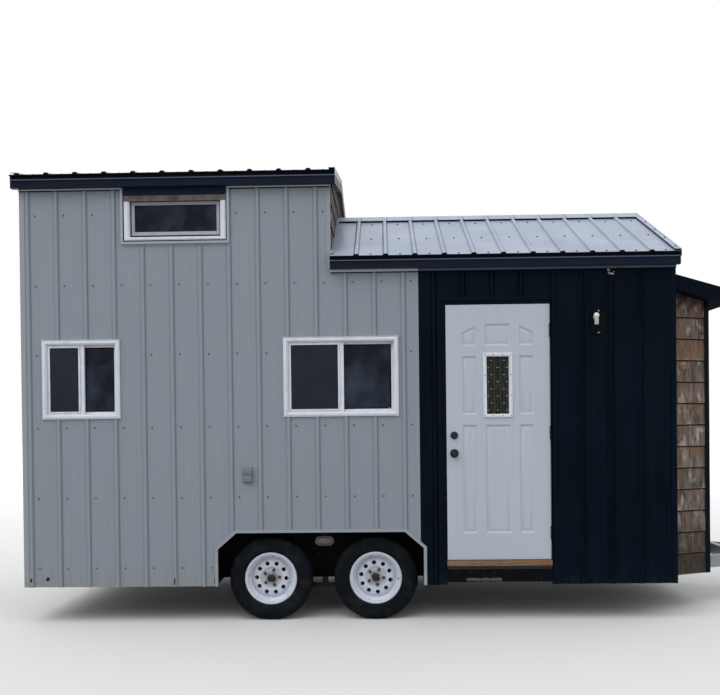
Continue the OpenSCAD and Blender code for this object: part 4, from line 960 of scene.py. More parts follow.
@dataclass
class SidingScrews:
    """Hex-head screws with sealing washers, in rows over the siding's rails."""

    rows: tuple[float, ...] = (433, 990, 1550, 2127, 2678, 3235)
    beside_rib: float = 60
    washer_r: float = 7.5
    head_r: float = 4.8
    clear: float = 50
    door_side_x: float = 3228
    corner_x: float = 5094

    def screw(self, shape: Shape, spot: Point, out: Point) -> None:
        """Adds one screw standing out of the sheet."""
        shape.turned(((self.washer_r, -0.4), (self.washer_r, 0.8), (5.5, 2.2)), spot, out, 12)
        shape.turned(((self.head_r, 1.6), (self.head_r, 5.4), (3.6, 6.2)), spot, out, 6)

    def free(self, x: float, z: float) -> bool:
        """Tells whether the front siding has sheet at a spot.

        Args:
            x: Place from the left end.
            z: Height.

        Returns:
            Whether a screw can sit there, clear of eaves, wheel opening and windows.
        """
        top = (PLAN.tall_siding_z if x < PLAN.tall_l - 40 else PLAN.lower_siding_z) - 40
        return PLAN.well_edge_z(x, self.clear) <= z <= top and all(
            not (left - 36 < x < left + w + self.clear and low - self.clear < z < low + h + 60)
            for left, w, low, h in WINDOW_BOXES
        )

    def spots(self, side: Side) -> list[tuple[bool, float, float]]:
        """Lists the screws of one long side.

        Args:
            side: The long side.

        Returns:
            For each screw whether it is in the grey sheet, its place and its height.
        """
        found = []
        for grey, start, end, place in PLAN.sheets(side):
            for x in PLAN.ribs(start, end, place):
                over_door = side is Side.FRONT and PLAN.grey_l <= start < PLAN.seam_x
                rows = self.rows[4:5] * (x > start + 200) if over_door else self.rows[: 6 if grey else 5]
                found += [(grey, x + self.beside_rib, z) for z in rows]
        found = [spot for spot in found if self.free(*spot[1:])]
        if side is Side.FRONT:
            found += [(False, self.door_side_x, z) for z in self.rows[:5]]
            found.append((False, self.corner_x, self.rows[0]))
        return found

    def build(self) -> None:
        """Builds the screws of both long sides and of the left end."""
        grey, black = Shape(), Shape()
        for side in Side:
            for is_grey, x, z in self.spots(side):
                self.screw(grey if is_grey else black, (x, side.value * PLAN.half_w, z), (0, side.value, 0))
        for i in range(10):
            y = 1154 - i * PLAN.rib_pitch - self.beside_rib
            top = PLAN.tall_eave_z - 110 + (PLAN.eave_y - abs(y)) * PLAN.tall_slope
            for z in self.rows:
                if z < top and abs(y) < PLAN.half_w - self.clear:
                    self.screw(grey, (0, y, z), (-1, 0, 0))
        grey.build("siding_screws_grey", SCREW_ZINC, slot="grey_siding")
        black.build("siding_screws_black", SCREW_BLACK, slot="black_siding")


@dataclass
class PressedBeads:
    """The two shallow stiffening beads pressed into the sheet between each pair of ribs."""

    foot_w: float = 17
    crest_w: float = 8
    height: float = 1.8
    edge_gap: float = 12

    def places(self, start: float, end: float, rib: float) -> list[float]:
        """Lists the beads of a sheet from start to end that has a rib at a given place."""
        found = (rib + (k + third) * PLAN.rib_pitch for k in range(-22, 23) for third in (1 / 3, 2 / 3))
        return sorted(x for x in found if start + self.edge_gap < x < end - self.edge_gap)

    def spans(self, x: float, side: Side) -> Outline:
        """Lists where a bead of a long side runs, clear of every opening.

        Args:
            x: Place from the left end.
            side: The long side.

        Returns:
            Foot and top of each run.
        """
        top = (PLAN.tall_siding_z if x < PLAN.tall_l - 30 else PLAN.lower_siding_z) - 1
        foot = max(PLAN.skirt_z, PLAN.well_edge_z(x, PLAN.well_trim_w)) + 2
        if side is Side.FRONT and PLAN.opening_x0 - 40 < x < PLAN.seam_x + 20:
            foot = PLAN.opening_z1 + 42
        for (left, width, low, height), rim in zip(WINDOW_BOXES, (5, 5, 33)):
            if left - rim - 10 < x < left + width + rim + 10:
                above = (low + height + 5, top if rim < 30 else 0)
                return [(a, b) for a, b in ((foot, low - rim), above) if b - a > 20]
        return [(foot, top)]

    def bead(self, shape: Shape, foot: Point, along: Point, out: Point, rise: float) -> None:
        """Adds one bead, its back just inside the sheet.

        Args:
            shape: Takes the bead.
            foot: Middle of its foot.
            along: Direction along the wall.
            out: Direction out of the wall.
            rise: Its length upwards.
        """
        low, side, push = Vector(foot), Vector(along), Vector(out)
        half = ((-self.foot_w / 2, -0.4), (-self.crest_w / 2, self.height))
        ends = (*half, *((-u, v) for u, v in reversed(half)))
        shape.prism([low + side * u + push * v for u, v in ends], (0, 0, rise))

    def build(self) -> None:
        """Builds the beads of both long sides and of the left end."""
        grey, black = Shape(), Shape()
        for side in Side:
            for is_grey, start, end, rib in PLAN.sheets(side):
                shape = grey if is_grey else black
                for x in self.places(start, min(end, PLAN.body_l - 40), rib):
                    for low, high in self.spans(x, side):
                        spot = (x, side.value * PLAN.half_w, low)
                        self.bead(shape, spot, (1, 0, 0), (0, side.value, 0), high - low)
        for y in self.places(-1180, 1180, 11):
            top = PLAN.tall_eave_z + (PLAN.eave_y - abs(y)) * PLAN.tall_slope - 95
            self.bead(grey, (0, y, PLAN.skirt_z + 2), (0, 1, 0), (-1, 0, 0), top - PLAN.skirt_z)
        grey.build("siding_beads_grey", GREY_SHEET, slot="grey_siding")
        black.build("siding_beads_black", BLACK_SHEET, slot="black_siding")


@dataclass(frozen=True)
class RoofPlane:
    """One gable roof: its ends, the height of its eaves, its slope and its first rib."""

    x0: float
    x1: float
    eave_z: float
    slope: float
    first: float

    def at(self, x: float, y: float, lift: float) -> Vector:
        """Gives the point at a distance above the deck."""
        deck = self.eave_z + (PLAN.eave_y - abs(y)) * self.slope
        return Vector((x, y, deck + lift * sqrt(1 + self.slope**2)))

    def up(self, s: int) -> Vector:
        """Gives the direction out of the roof on one side."""
        return Vector((0, s * self.slope, 1)).normalized()


ROOFS = (
    RoofPlane(-PLAN.tall_over, PLAN.tall_l + PLAN.tall_over, PLAN.tall_eave_z, PLAN.tall_slope, 62),
    RoofPlane(PLAN.tall_l, PLAN.body_l + PLAN.lower_over, PLAN.lower_eave_z, PLAN.lower_slope, 205),
)


@dataclass
class RoofFittings:
    """Screws, closures, painted shadow strips, drip edges, rake trims and the folds of the eaves of the two
    roofs.
    """

    screw_rows: tuple[float, ...] = (12, 515, 1055)
    screw_pitch: float = 290
    drip: float = 20
    face_h: float = 32
    rake_w: float = 50
    rake_lift: float = 20.6
    cap_edge: float = 146
    washers: SidingScrews = field(default_factory=lambda: SidingScrews(washer_r=9, head_r=5.5))
    screws: Shape = field(default_factory=Shape)
    closures_and_shade_strips: Shape = field(default_factory=Shape)
    drips: Shape = field(default_factory=Shape)
    lips: Shape = field(default_factory=Shape)
    pale: Shape = field(default_factory=Shape)
    rakes: Shape = field(default_factory=Shape)

    def build(self) -> None:
        """Builds the screws, the closures, the painted shadow strips under the channels, the drip edges, the
        lips and the rake trims.
        """
        for roof in ROOFS:
            for side in Side:
                self.one_side(roof, side.value)
        low, tall = PLAN.lower_siding_z, PLAN.tall_siding_z
        self.channel_lips(self.lips, PLAN.grey_l, PLAN.body_l, low)
        self.channel_lips(self.pale, PLAN.tall_l, PLAN.grey_l, low)
        self.channel_lips(self.pale, -PLAN.trim_t, PLAN.tall_l, tall)
        # Black strips in the gap under each eave channel: a painted shadow
        for x0, x1, z in ((0, PLAN.tall_l, tall), (PLAN.tall_l, PLAN.body_l, low)):
            for side in Side:
                outer, inner = (side.value * (PLAN.half_w + y) for y in (16, -0.5))
                self.closures_and_shade_strips.block((x0, inner, z - 28), (x1, outer, z - 21))
        self.ends_by_tall_wall()
        for shape, name, finish, slot, bevel in (
            (self.pale, "grey_channel_lips", HIGHLIT_PALE_LIP, "grey_siding", 0.6),
            (self.screws, "roof_screws", SCREW_BLACK, "roof_metal", 0),
            (self.closures_and_shade_strips, "roof_closures_and_shade_strips", SHADED_DRIP_METAL, "black_siding", 0),
            (self.drips, "eave_drip_edges", SHADED_DRIP_METAL, "black_siding", 0.8),
            (self.lips, "eave_lips", HIGHLIT_LIP_METAL, "black_siding", 0.6),
            (self.rakes, "rake_trims", ROOF_SHEET, "roof_metal", 0.8),
        ):
            shape.build(name, finish, slot=slot, bevel=bevel)

    def one_side(self, roof: RoofPlane, s: int) -> None:
        """Adds the fittings of one slope.

        Args:
            roof: The roof.
            s: Sign of Y of the slope.
        """
        x0, x1 = roof.x0, roof.x1
        count = int((x1 - x0 - 68 - roof.first) // PLAN.rib_pitch) + 1
        for x in (x0 + roof.first + i * PLAN.rib_pitch for i in range(count)):
            middle = x + PLAN.rib_pitch / 2
            if middle < x1 - 30 and (x0 < 0 or middle > x0 + 100):
                for row in self.screw_rows:
                    spot = roof.at(middle, s * (PLAN.eave_y - row), PLAN.sheet_t)
                    self.washers.screw(self.screws, spot, roof.up(s))
            self.rib_end(roof, x, s)
        rows = ((138, 3.6), (145, 3.6), (145, 18.6), (138, 18.6))
        self.closures_and_shade_strips.prism([roof.at(x0 + 2, s * y, lift) for y, lift in rows], (x1 - x0 - 4, 0, 0))
        self.folds(x0, x1, roof.eave_z, s)
        for edge, way in ((x0, 1), (x1, -1)):
            if edge != PLAN.tall_l:
                self.rake(roof, edge, way, s)

    def rib_end(self, roof: RoofPlane, x: float, s: int) -> None:
        """Adds the foam closure that shows in the open end of one roof rib.

        Args:
            roof: The roof.
            x: Middle of the rib.
            s: Sign of Y of the slope.
        """
        up, down = roof.up(s), Vector((0, s, -roof.slope)).normalized()
        spot = roof.at(x, s * (PLAN.eave_y + self.drip), 0) - down * 5
        half = [(21.5, -4), (21.5, 6), (19, 11), (15.5, 15), (11, 17)]
        outline = half + [(-u, v) for u, v in reversed(half)]
        self.closures_and_shade_strips.prism([spot + Vector((u, 0, 0)) + up * v for u, v in outline], down * 5.6)

    def folds(self, x0: float, x1: float, z: float, s: int) -> None:
        """Adds the drip edge's face, the lip kicked out at its foot and the foam in the pans' ends.

        Args:
            x0: Start of the eave.
            x1: End of the eave.
            z: Height of the eave.
            s: Sign of Y of the slope.
        """
        y, low = PLAN.eave_y, z - self.face_h
        face = ((y - 40, z + 1), (y + 2.5, z + 1), (y + 2.5, low), (y + 0.4, low), (y + 0.4, z - 0.5),
                (y - 40, z - 0.5))
        lip = ((y + 0.4, low), (y + 3, low), (y + 11, low - 9), (y + 10, low - 11), (y + 0.4, low - 4))
        end, pan_z = y + self.drip, z + (5 if z == PLAN.tall_eave_z else 0)
        pan = corners((end - 2, end + 2.2, pan_z - 14, pan_z - 3.4))
        for shape, profile in ((self.drips, face), (self.lips, lip), (self.drips, pan)):
            shape.strip(max(x0 - 0.6, -PLAN.tall_over), x1 + 0.6, profile, s)

    def channel_lips(self, shape: Shape, x0: float, x1: float, z: float) -> None:
        """Adds the rolled lip of the channel over the siding.

        Args:
            shape: Takes the lip.
            x0: Its start.
            x1: Its end.
            z: Height of the siding's top.
        """
        y = PLAN.half_w + PLAN.rib_h + PLAN.trim_t
        section = ((y + 0.2, z - 20), (y + 1.5, z - 19), (y + 1.5, z + 1), (y + 0.2, z + 2))
        for side in (-1, 1):
            shape.strip(x0, x1, section, side)

    def ends_by_tall_wall(self) -> None:
        """Adds the cap on the open end of the lower eave and the trim on the tall wall's edge."""
        y, end, z = PLAN.half_w + 19, PLAN.eave_y + 1, PLAN.lower_eave_z
        foot, top = z - PLAN.fascia_h, z + (end - y) * PLAN.lower_slope
        x = PLAN.tall_l + 0.2
        for s in (-1, 1):
            self.drips.strip(x - 1.8, x - 0.4, ((y, foot), (end, foot), (end, z), (y, top)), s)
            self.pale.block((x, s * 1214.5, z + 54), (x + 2, s * (PLAN.half_w + 18), PLAN.tall_siding_z))

    def rake(self, roof: RoofPlane, edge: float, way: int, s: int) -> None:
        """Adds the folded trim over one sloping edge, with its foam and its screws.

        Args:
            roof: The roof.
            edge: X of the edge.
            way: Sign of X into the roof.
            s: Sign of Y of the slope.
        """
        top = self.rake_lift
        bands = [(self.rakes, 0.2, self.rake_w, top - 1.5, top), (self.closures_and_shade_strips, self.rake_w - 8, 4, 3.6, 19)]
        if edge > 0:
            bands.append((self.rakes, -1.6, 1.8, -34, top))
        for shape, start, width, *lifts in bands:
            low, high = (
                [roof.at(edge + way * start, s * y, lift) for y in (PLAN.eave_y + self.drip, self.cap_edge)]
                for lift in lifts
            )
            shape.prism([*low, *reversed(high)], (way * width, 0, 0))
        y = PLAN.eave_y - 60
        while y > 200:
            self.washers.screw(self.screws, roof.at(edge + way * 24, s * y, top), roof.up(s))
            y -= self.screw_pitch


@dataclass
class VinylWindow:
    """One vinyl window: a stepped mitred frame, its sashes, gaskets and screen."""

    name: str
    box: Box
    side: Side
    sliding: bool
    flange: float = 26
    liner: float = 12
    sash_t: float = 24
    stile: float = 45
    rim: float = 33
    shape: Shape = field(default_factory=Shape)
    gasket: Shape = field(default_factory=Shape)

    def to_y(self, proud: float) -> float:
        """Gives the Y of a face that stands out of the flat siding by a distance."""
        return self.side.value * (PLAN.half_w + proud)

    def outer(self, by: float = 0.0) -> Box:
        """Gives left, right, foot and top of the frame, made smaller all round."""
        x, w, z, h = self.box
        return (x + by, x + w - by, z + by, z + h - by)

    def frame(self) -> None:
        """Adds the outer frame with its stepped face, the liner and the drip lip at its head."""
        w = self.flange + self.liner
        steps = (
            (0, 0), (0, 14), (2, 16.5), (8, 16.5), (9.5, 20.5), (11.5, 22), (w - 12, 22), (w - 10, 20),
            (w - 9.5, 15), (w - 3, 13.5), (w, 10), (w, -84), (self.flange, -84), (self.flange, 0),
        )
        foot = w if self.sliding else 28
        self.shape.ring(self.outer(), (w, w, foot, w), [(u / w, v) for u, v in steps], self.to_y)
        x0, x1, _, z1 = self.outer()
        lip = [(0, z1 - 1), (21.5, z1 - 1), (21.5, z1 + 1.5), (17, z1 + 2.5), (0, z1 + 2.9)]
        self.shape.prism([(x0 - 2.5, self.to_y(u), v) for u, v in lip], (x1 - x0 + 5, 0, 0))

    def sash(self, shape: Shape, box: Box, widths: Box, face: float) -> Box:
        """Adds one sash with its bevelled glazing bead and gasket.

        Args:
            shape: Takes the sash.
            box: Left, right, foot and top of the sash.
            widths: Width on the left, right, foot and top.
            face: How far its outer face stands out of the siding, negative behind it.

        Returns:
            Left, right, foot and top of the glass that shows.
        """
        back = face - self.sash_t
        profile = (
            (0, back), (0, face - 1.2), (0.05, face), (0.5, face), (0.54, face - 2.2), (0.66, face - 2.6),
            (0.72, face - 1.6), (0.96, face - 7.6), (1, face - 8.6), (1, back + 8.6), (0.9, back + 6),
            (0.5, back),
        )
        shape.ring(box, widths, profile, self.to_y)
        seen = tuple(edge + way * w for edge, way, w in zip(box, (1, -1, 1, -1), widths))
        rubber = ((0, face - 9), (0, face - 6.2), (0.6, face - 5.8), (1, face - 9))
        outer = (seen[0] - 1.2, seen[1] + 1.2, seen[2] - 1.2, seen[3] + 1.2)
        self.gasket.ring(outer, (3.2,) * 4, rubber, self.to_y)
        return seen

    def screen(self, seen: Box, face: float) -> None:
        """Builds an insect screen in its thin frame before one sash.

        Args:
            seen: Left, right, foot and top of the glass that shows.
            face: How far the back of the screen stands out of the siding.
        """
        rim, mesh = Shape(), Shape()
        out = (seen[0] - 10, seen[1] + 10, seen[2] - 10, seen[3] + 10)
        rows = ((0, 0), (0, 4.5), (0.2, 5.5), (0.8, 5.5), (1, 3), (1, 0))
        rim.ring(out, (11,) * 4, [(u, face + v) for u, v in rows], self.to_y)
        rim.build(f"{self.name}_screen_frame", VINYL, slot="vinyl", bevel=0.5)
        y = self.to_y(face + 1)
        mesh.add([(x, y, z) for x, z in corners(seen, 3)], [(0, 1, 2, 3)])
        mesh.build(f"{self.name}_screen", SCREEN, slot="glass")

    def build(self) -> None:
        """Builds the frame with its sashes, the gaskets, and the screen or the flashing."""
        self.frame()
        if self.sliding:
            self.slider()
        else:
            self.loft_sash()
        self.shape.build(f"{self.name}_frame", VINYL, smooth=25, stands_for=("window_frames",),
                         slot="vinyl", bevel=0.4)
        self.gasket.build(f"{self.name}_gasket", GASKET, slot="vinyl")
        if not self.sliding:
            self.head()

    def slider(self) -> None:
        """Adds two sashes that overlap in the middle and a grip, and builds the screen before one."""
        x0, x1, z0, z1 = self.outer(self.flange + self.liner)
        mid = (x0 + x1) / 2
        rim = self.rim - self.liner
        end = mid + self.stile / 2
        left = self.sash(self.shape, (x0, end, z0, z1), (rim, self.stile, rim, rim), -2)
        end -= self.stile
        self.sash(self.shape, (end, x1, z0, z1), (self.stile, rim, rim, rim), -28)
        grip = [(mid - 20, -2), (mid - 20, 3), (mid - 14, 5), (mid - 8, 3), (mid - 8, -2)]
        self.shape.prism([(u, self.to_y(v), z0 + 70) for u, v in grip], (0, 0, z1 - z0 - 140))
        self.screen(left, -1.8)

    def loft_sash(self) -> None:
        """Builds the sash of the loft window, whose grey is painted shade, and adds its rubbers."""
        left, right, foot, top = self.outer()
        inner = Shape()
        self.sash(inner, (left + 53, right - 53, foot + 44, top - 51), (27, 27, 31, 27), -16)
        inner.build(f"{self.name}_sash", SHADED_VINYL, smooth=25, slot="vinyl", bevel=0.4)
        back = ((0, -26), (0, -20), (1, -20), (1, -26))
        self.gasket.ring((left + 43, right - 43, foot + 27, top - 41), (14,) * 4, back, self.to_y)
        front = ((0, 2), (0, 12), (1, 12), (1, 2))
        self.gasket.ring((left - 8.5, right + 8.5, foot - 9.5, top + 8), (9.5,) * 4, front, self.to_y)

    def head(self) -> None:
        """Builds the channel round the loft window, the flashing over it with a black lip that paints the
        shadow under it, and the strip whose brown is stain and painted shade.
        """
        left, right, foot, top = self.outer()
        eave = PLAN.tall_siding_z + 3
        grey, black = "grey_siding", "black_siding"
        for label, finish, slot, bevel, proud, boxes in (
            ("channel", PALE_FOLD, grey, 0.8, (18, 20.5), (
                (left - 28, right + 28, foot - 28, foot - 9), (left - 28, left - 8, foot - 9, eave),
                (right + 8, right + 28, foot - 9, eave))),
            ("flashing", EAVE_METAL, black, 0.8, (3.1, 21.5), ((left - 7, right + 7, top + 1, eave + 0.5),)),
            # Black lip over the frame's head: a painted shadow under the flashing
            ("flashing_lip_painted_shadow", EAVE_METAL, black, 0.8, (22.1, 25),
             ((left - 1, right + 1, top - 8, top + 1.2),)),
            # Strip on the frame's head: brown stain, darkened by painted shade under the flashing
            ("head", STAINED_SHADED_VINYL, "vinyl", 0.3, (22.1, 23), ((left + 1, right - 1, top - 53, top - 8.2),)),
        ):
            shape = Shape()
            y0, y1 = (self.to_y(out) for out in proud)
            for x0, x1, z0, z1 in boxes:
                shape.block((x0, y0, z0), (x1, y1, z1))
            shape.build(f"{self.name}_{label}", finish, slot=slot, bevel=bevel)


@dataclass
class EntryDoor:
    """The entry door: a pressed steel leaf with eight panels, its glazing and its seals."""

    face_y: float = 1212
    leaf_t: float = 44
    lite: Box = (290.5, 522.5, 1118, 1628)
    lite_rim: float = 29

    def panels(self) -> list[tuple[float, ...]]:
        """Lists the pressed panels.

        Returns:
            For each its left, right, foot and the heights of its top at the left and right.
        """
        w = PLAN.door_w
        left, mid, right = (125, 240), (305, 508), (w - 240, w - 125)
        return [
            *((*ends, 208, 1063, 1063) for ends in (left, mid, right)),
            *((*ends, 1142, 1604, 1604) for ends in (left, right)),
            (*left, 1683, 1789, 1847), (*mid, 1683, 1856, 1856), (*right, 1683, 1847, 1789),
        ]

    def inset(self, panel: tuple[float, ...], by: float) -> Outline:
        """Gives the corners of a panel made smaller all round.

        Args:
            panel: A panel as panels() lists it.
            by: How far each edge moves inwards.

        Returns:
            Its corners, anticlockwise.
        """
        x0, x1, z0, left, right = panel
        slope = (right - left) / (x1 - x0)
        sink = by * hypot(1, slope)
        top = [(x1 - by, right - slope * by - sink), (x0 + by, left + slope * by - sink)]
        return [(x0 + by, z0 + by), (x1 - by, z0 + by), *top]

    def face(self, shape: Shape, y: float, inward: float) -> None:
        """Adds one pressed face of the leaf with its panels and the hole for the glass.

        Args:
            shape: Takes the face.
            y: Y of the flat of the face.
            inward: Sign of Y that leads into the leaf.
        """
        def spot(point: tuple[float, float], depth: float) -> Vector:
            """Puts a point of the leaf at a depth below its face."""
            return Vector((PLAN.door_x + point[0], y + inward * depth, PLAN.door_z + point[1]))

        whole, r = (0, PLAN.door_w, 0, PLAN.door_h), 1.5
        rect = corners(whole, r)
        flat = bmesh.new()
        for loop in [rect, corners(self.lite, 6)] + [self.inset(panel, 0) for panel in self.panels()]:
            made = [flat.verts.new(spot(p, 0)) for p in loop]
            for a, b in zip(made, made[1:] + made[:1]):
                flat.edges.new((a, b))
        bmesh.ops.triangle_fill(flat, use_beauty=True, use_dissolve=False, edges=flat.edges[:])
        flat.verts.index_update()
        shape.add([v.co.copy() for v in flat.verts], [[v.index for v in f.verts] for f in flat.faces])
        flat.free()
        rows = ((0, 0), (1.5, 0.8), (12, 8.6), (14, 9.4), (16, 9.2), (33, 2.2), (35, 1.6))
        for panel in self.panels():
            rings = [[spot(p, d) for p in self.inset(panel, i)] for i, d in rows]
            shape.loft(rings, caps=False)
            shape.add(rings[-1], [(0, 1, 2, 3)])
        shape.loft([[spot(p, 0) for p in rect], [spot(p, r) for p in corners(whole)]], caps=False)

    def leaf(self) -> None:
        """Builds the leaf: two pressed faces and the four edges between them."""
        shape = Shape()
        outer, inner = -self.face_y, -self.face_y + self.leaf_t
        self.face(shape, outer, 1)
        self.face(shape, inner, -1)
        edges = (((0, PLAN.door_w, 0, PLAN.door_h), 0, 1.5), (self.lite, 6, 0))
        for box, by, r in edges:
            flat = [(PLAN.door_x + x, PLAN.door_z + z) for x, z in corners(box, by)]
            shape.loft([[(x, y, z) for x, z in flat] for y in (outer + r, inner - r)], caps=False)
        shape.build(
            "door_leaf", DOOR_ENAMEL, Rider.DOOR, smooth=28, stands_for=("door_slab",), slot="door_paint"
        )

    def glazing(self) -> None:
        """Builds the moulded rims round the glass, their screw plugs, the glass and its cames."""
        rims, plugs, glass = Shape(), Shape(), Shape()
        x0, x1, z0, z1 = self.lite
        x0, x1, z0, z1 = PLAN.door_x + x0, PLAN.door_x + x1, PLAN.door_z + z0, PLAN.door_z + z1
        rim = self.lite_rim
        steps = (
            (0, 0.2), (0, 5), (1.5, 8.5), (4, 10.5), (8, 11.6), (14, 12), (19, 11.2), (23, 9),
            (26, 5.5), (28, 4.6), (29, 3), (29, -18.5), (24, -18.5), (24, -2), (7, -2), (7, 0.2),
        )
        profile = [(u / rim, v) for u, v in steps]
        half, rise = rim / 2, (z1 - z0 - rim) / 3
        spots = [(x, z0 + half + rise * k) for k in range(4) for x in (x0 + half, x1 - half)]
        spots += [(x, z) for x in (x0 + 78, x1 - 78) for z in (z0 + half, z1 - half)]
        for s, face in ((-1, -self.face_y), (1, -self.face_y + self.leaf_t)):
            rims.ring((x0, x1, z0, z1), (rim,) * 4, profile, lambda proud, s=s, f=face: f + s * proud)
            for x, z in spots:
                plugs.turned(((4.6, -1), (4.6, 0.1), (3.6, 0.5)), (x, face + s * 11.8, z), (0, s, 0), 14)
        x0, x1, z0, z1 = x0 + rim, x1 - rim, z0 + rim, z1 - rim
        mid = -self.face_y + self.leaf_t / 2
        n, reeds, depth = 72, 18, 0.9
        for y, s in ((mid - 3, -1), (mid + 3, 1)):
            wave = [(x0 + (x1 - x0) * i / n, y - s * (depth - depth * abs(sin(pi * reeds * i / n))))
                    for i in range(n + 1)]
            glass.add([(x, v, z) for z in (z0, z1) for x, v in wave],
                      [(i, i + 1, n + i + 2, n + i + 1) for i in range(n)])
        self.cames((x0, x1, z0, z1), mid - 3)
        for shape, name, finish, slot, smooth in (
            (rims, "door_lite_rims", LITE_PLASTIC, "vinyl", 40),
            (plugs, "door_lite_screw_plugs", SCREW_ZINC, "vinyl", 32),
        ):
            shape.build(name, finish, Rider.DOOR, smooth, slot=slot)
        glass.build("door_lite_glass", DOOR_GLASS, Rider.DOOR, 50, stands_for=("door_glass",), slot="glass")

    def cames(self, box: Box, y: float) -> None:
        """Builds the upright cames and the staggered rows of bright solder bars between them.

        Args:
            box: Left, right, foot and top of the glass that shows.
            y: Face of the glass.
        """
        uprights, dots = Shape(), Shape()
        x0, x1, z0, z1 = box
        width = x1 - x0
        for share in (0.08, 0.36, 0.64, 0.92):
            x = x0 + width * share
            outline = [(x - 2, y, z0), (x + 2, y, z0), (x + 1.2, y - 2, z0), (x - 1.2, y - 2, z0)]
            uprights.prism(outline, (0, 0, z1 - z0))
        for row in range(8):
            z = z1 - 30 - (z1 - z0 - 60) * row / 7
            for place in ((0.22, 0.78), (0.08, 0.5, 0.92))[row % 2]:
                x = x0 + width * place
                dots.block((x - 8, y - 3, z - 1.8), (x + 8, y + 0.5, z + 1.8))
        uprights.build("door_lite_cames", CAME, Rider.DOOR, slot="brushed_metal")
        dots.build("door_lite_solder", SOLDER, Rider.DOOR, slot="brushed_metal")

    def seals(self) -> None:
        """Builds the weatherstrip in the frame, the foam in the hinge gap and the threshold."""
        strip, foam, threshold = Shape(), Shape(), Shape()
        x0, x1, foot = PLAN.door_x, PLAN.door_x + PLAN.door_w, PLAN.door_z
        back = -self.face_y + self.leaf_t
        rows = ((0, 0.6), (8, 0.6), (9.5, 2.4), (8, 4.2), (0, 4.2))
        for x, turn in ((x0 - 6, 1), (x1 + 4, -1)):
            strip.prism([(x + turn * u, back + v, foot) for u, v in rows], (0, 0, PLAN.door_h))
        foam.block((x1 + 1.5, -1207, foot + 4), (x1 + 4.9, -1172, foot + PLAN.door_h))
        sill = ((-1210, 476.6), (-1206, 477.6), (-1180, 478.2), (-1166, 477.6), (-1160, 474.4),
                (-1210, 474.4))
        threshold.strip(x0 - 5, x1 + 3, sill, 1)
        strip.build("door_weatherstrip", GASKET, slot="black_siding")
        foam.build("door_hinge_side_foam", FOAM_STRIP, slot="vinyl", bevel=0.8)
        threshold.build("door_threshold", SCREW_ZINC, slot="brushed_metal")

    def build(self) -> None:
        """Builds every piece of the door."""
        self.leaf()
        self.glazing()
        self.seals()


def half_plane_cut(outline: Outline, a: float, b: float, c: float) -> Outline:
    """Keeps the part of a flat outline where a*u + b*v <= c.

    Args:
        outline: Corners of a convex outline.
        a: Factor of the first coordinate.
        b: Factor of the second coordinate.
        c: Limit.

    Returns:
        The part that is left, which may be empty.
    """
    kept: Outline = []
    for p, q in zip(outline, outline[1:] + outline[:1]):
        inside_p = a * p[0] + b * p[1] <= c
        inside_q = a * q[0] + b * q[1] <= c
        if inside_p:
            kept.append(p)
        if inside_p != inside_q:
            t = (c - a * p[0] - b * p[1]) / (a * (q[0] - p[0]) + b * (q[1] - p[1]))
            kept.append((p[0] + (q[0] - p[0]) * t, p[1] + (q[1] - p[1]) * t))
    return kept


@dataclass
class ShingledWall:
    """One wall face clad in cedar shingles.

    u runs along the wall from its origin on the sheathing; cuts are the lines a*u + b*z <= c that
    bound it, notches are the start, end and top of the openings at its foot.
    """

    origin: Point
    run: Point
    out: Point
    u0: float
    u1: float
    z0: float
    z1: float
    cuts: tuple[tuple[float, float, float], ...] = ()
    notches: tuple[tuple[float, float, float], ...] = ()
    widths: tuple[float, float] = (85, 190)


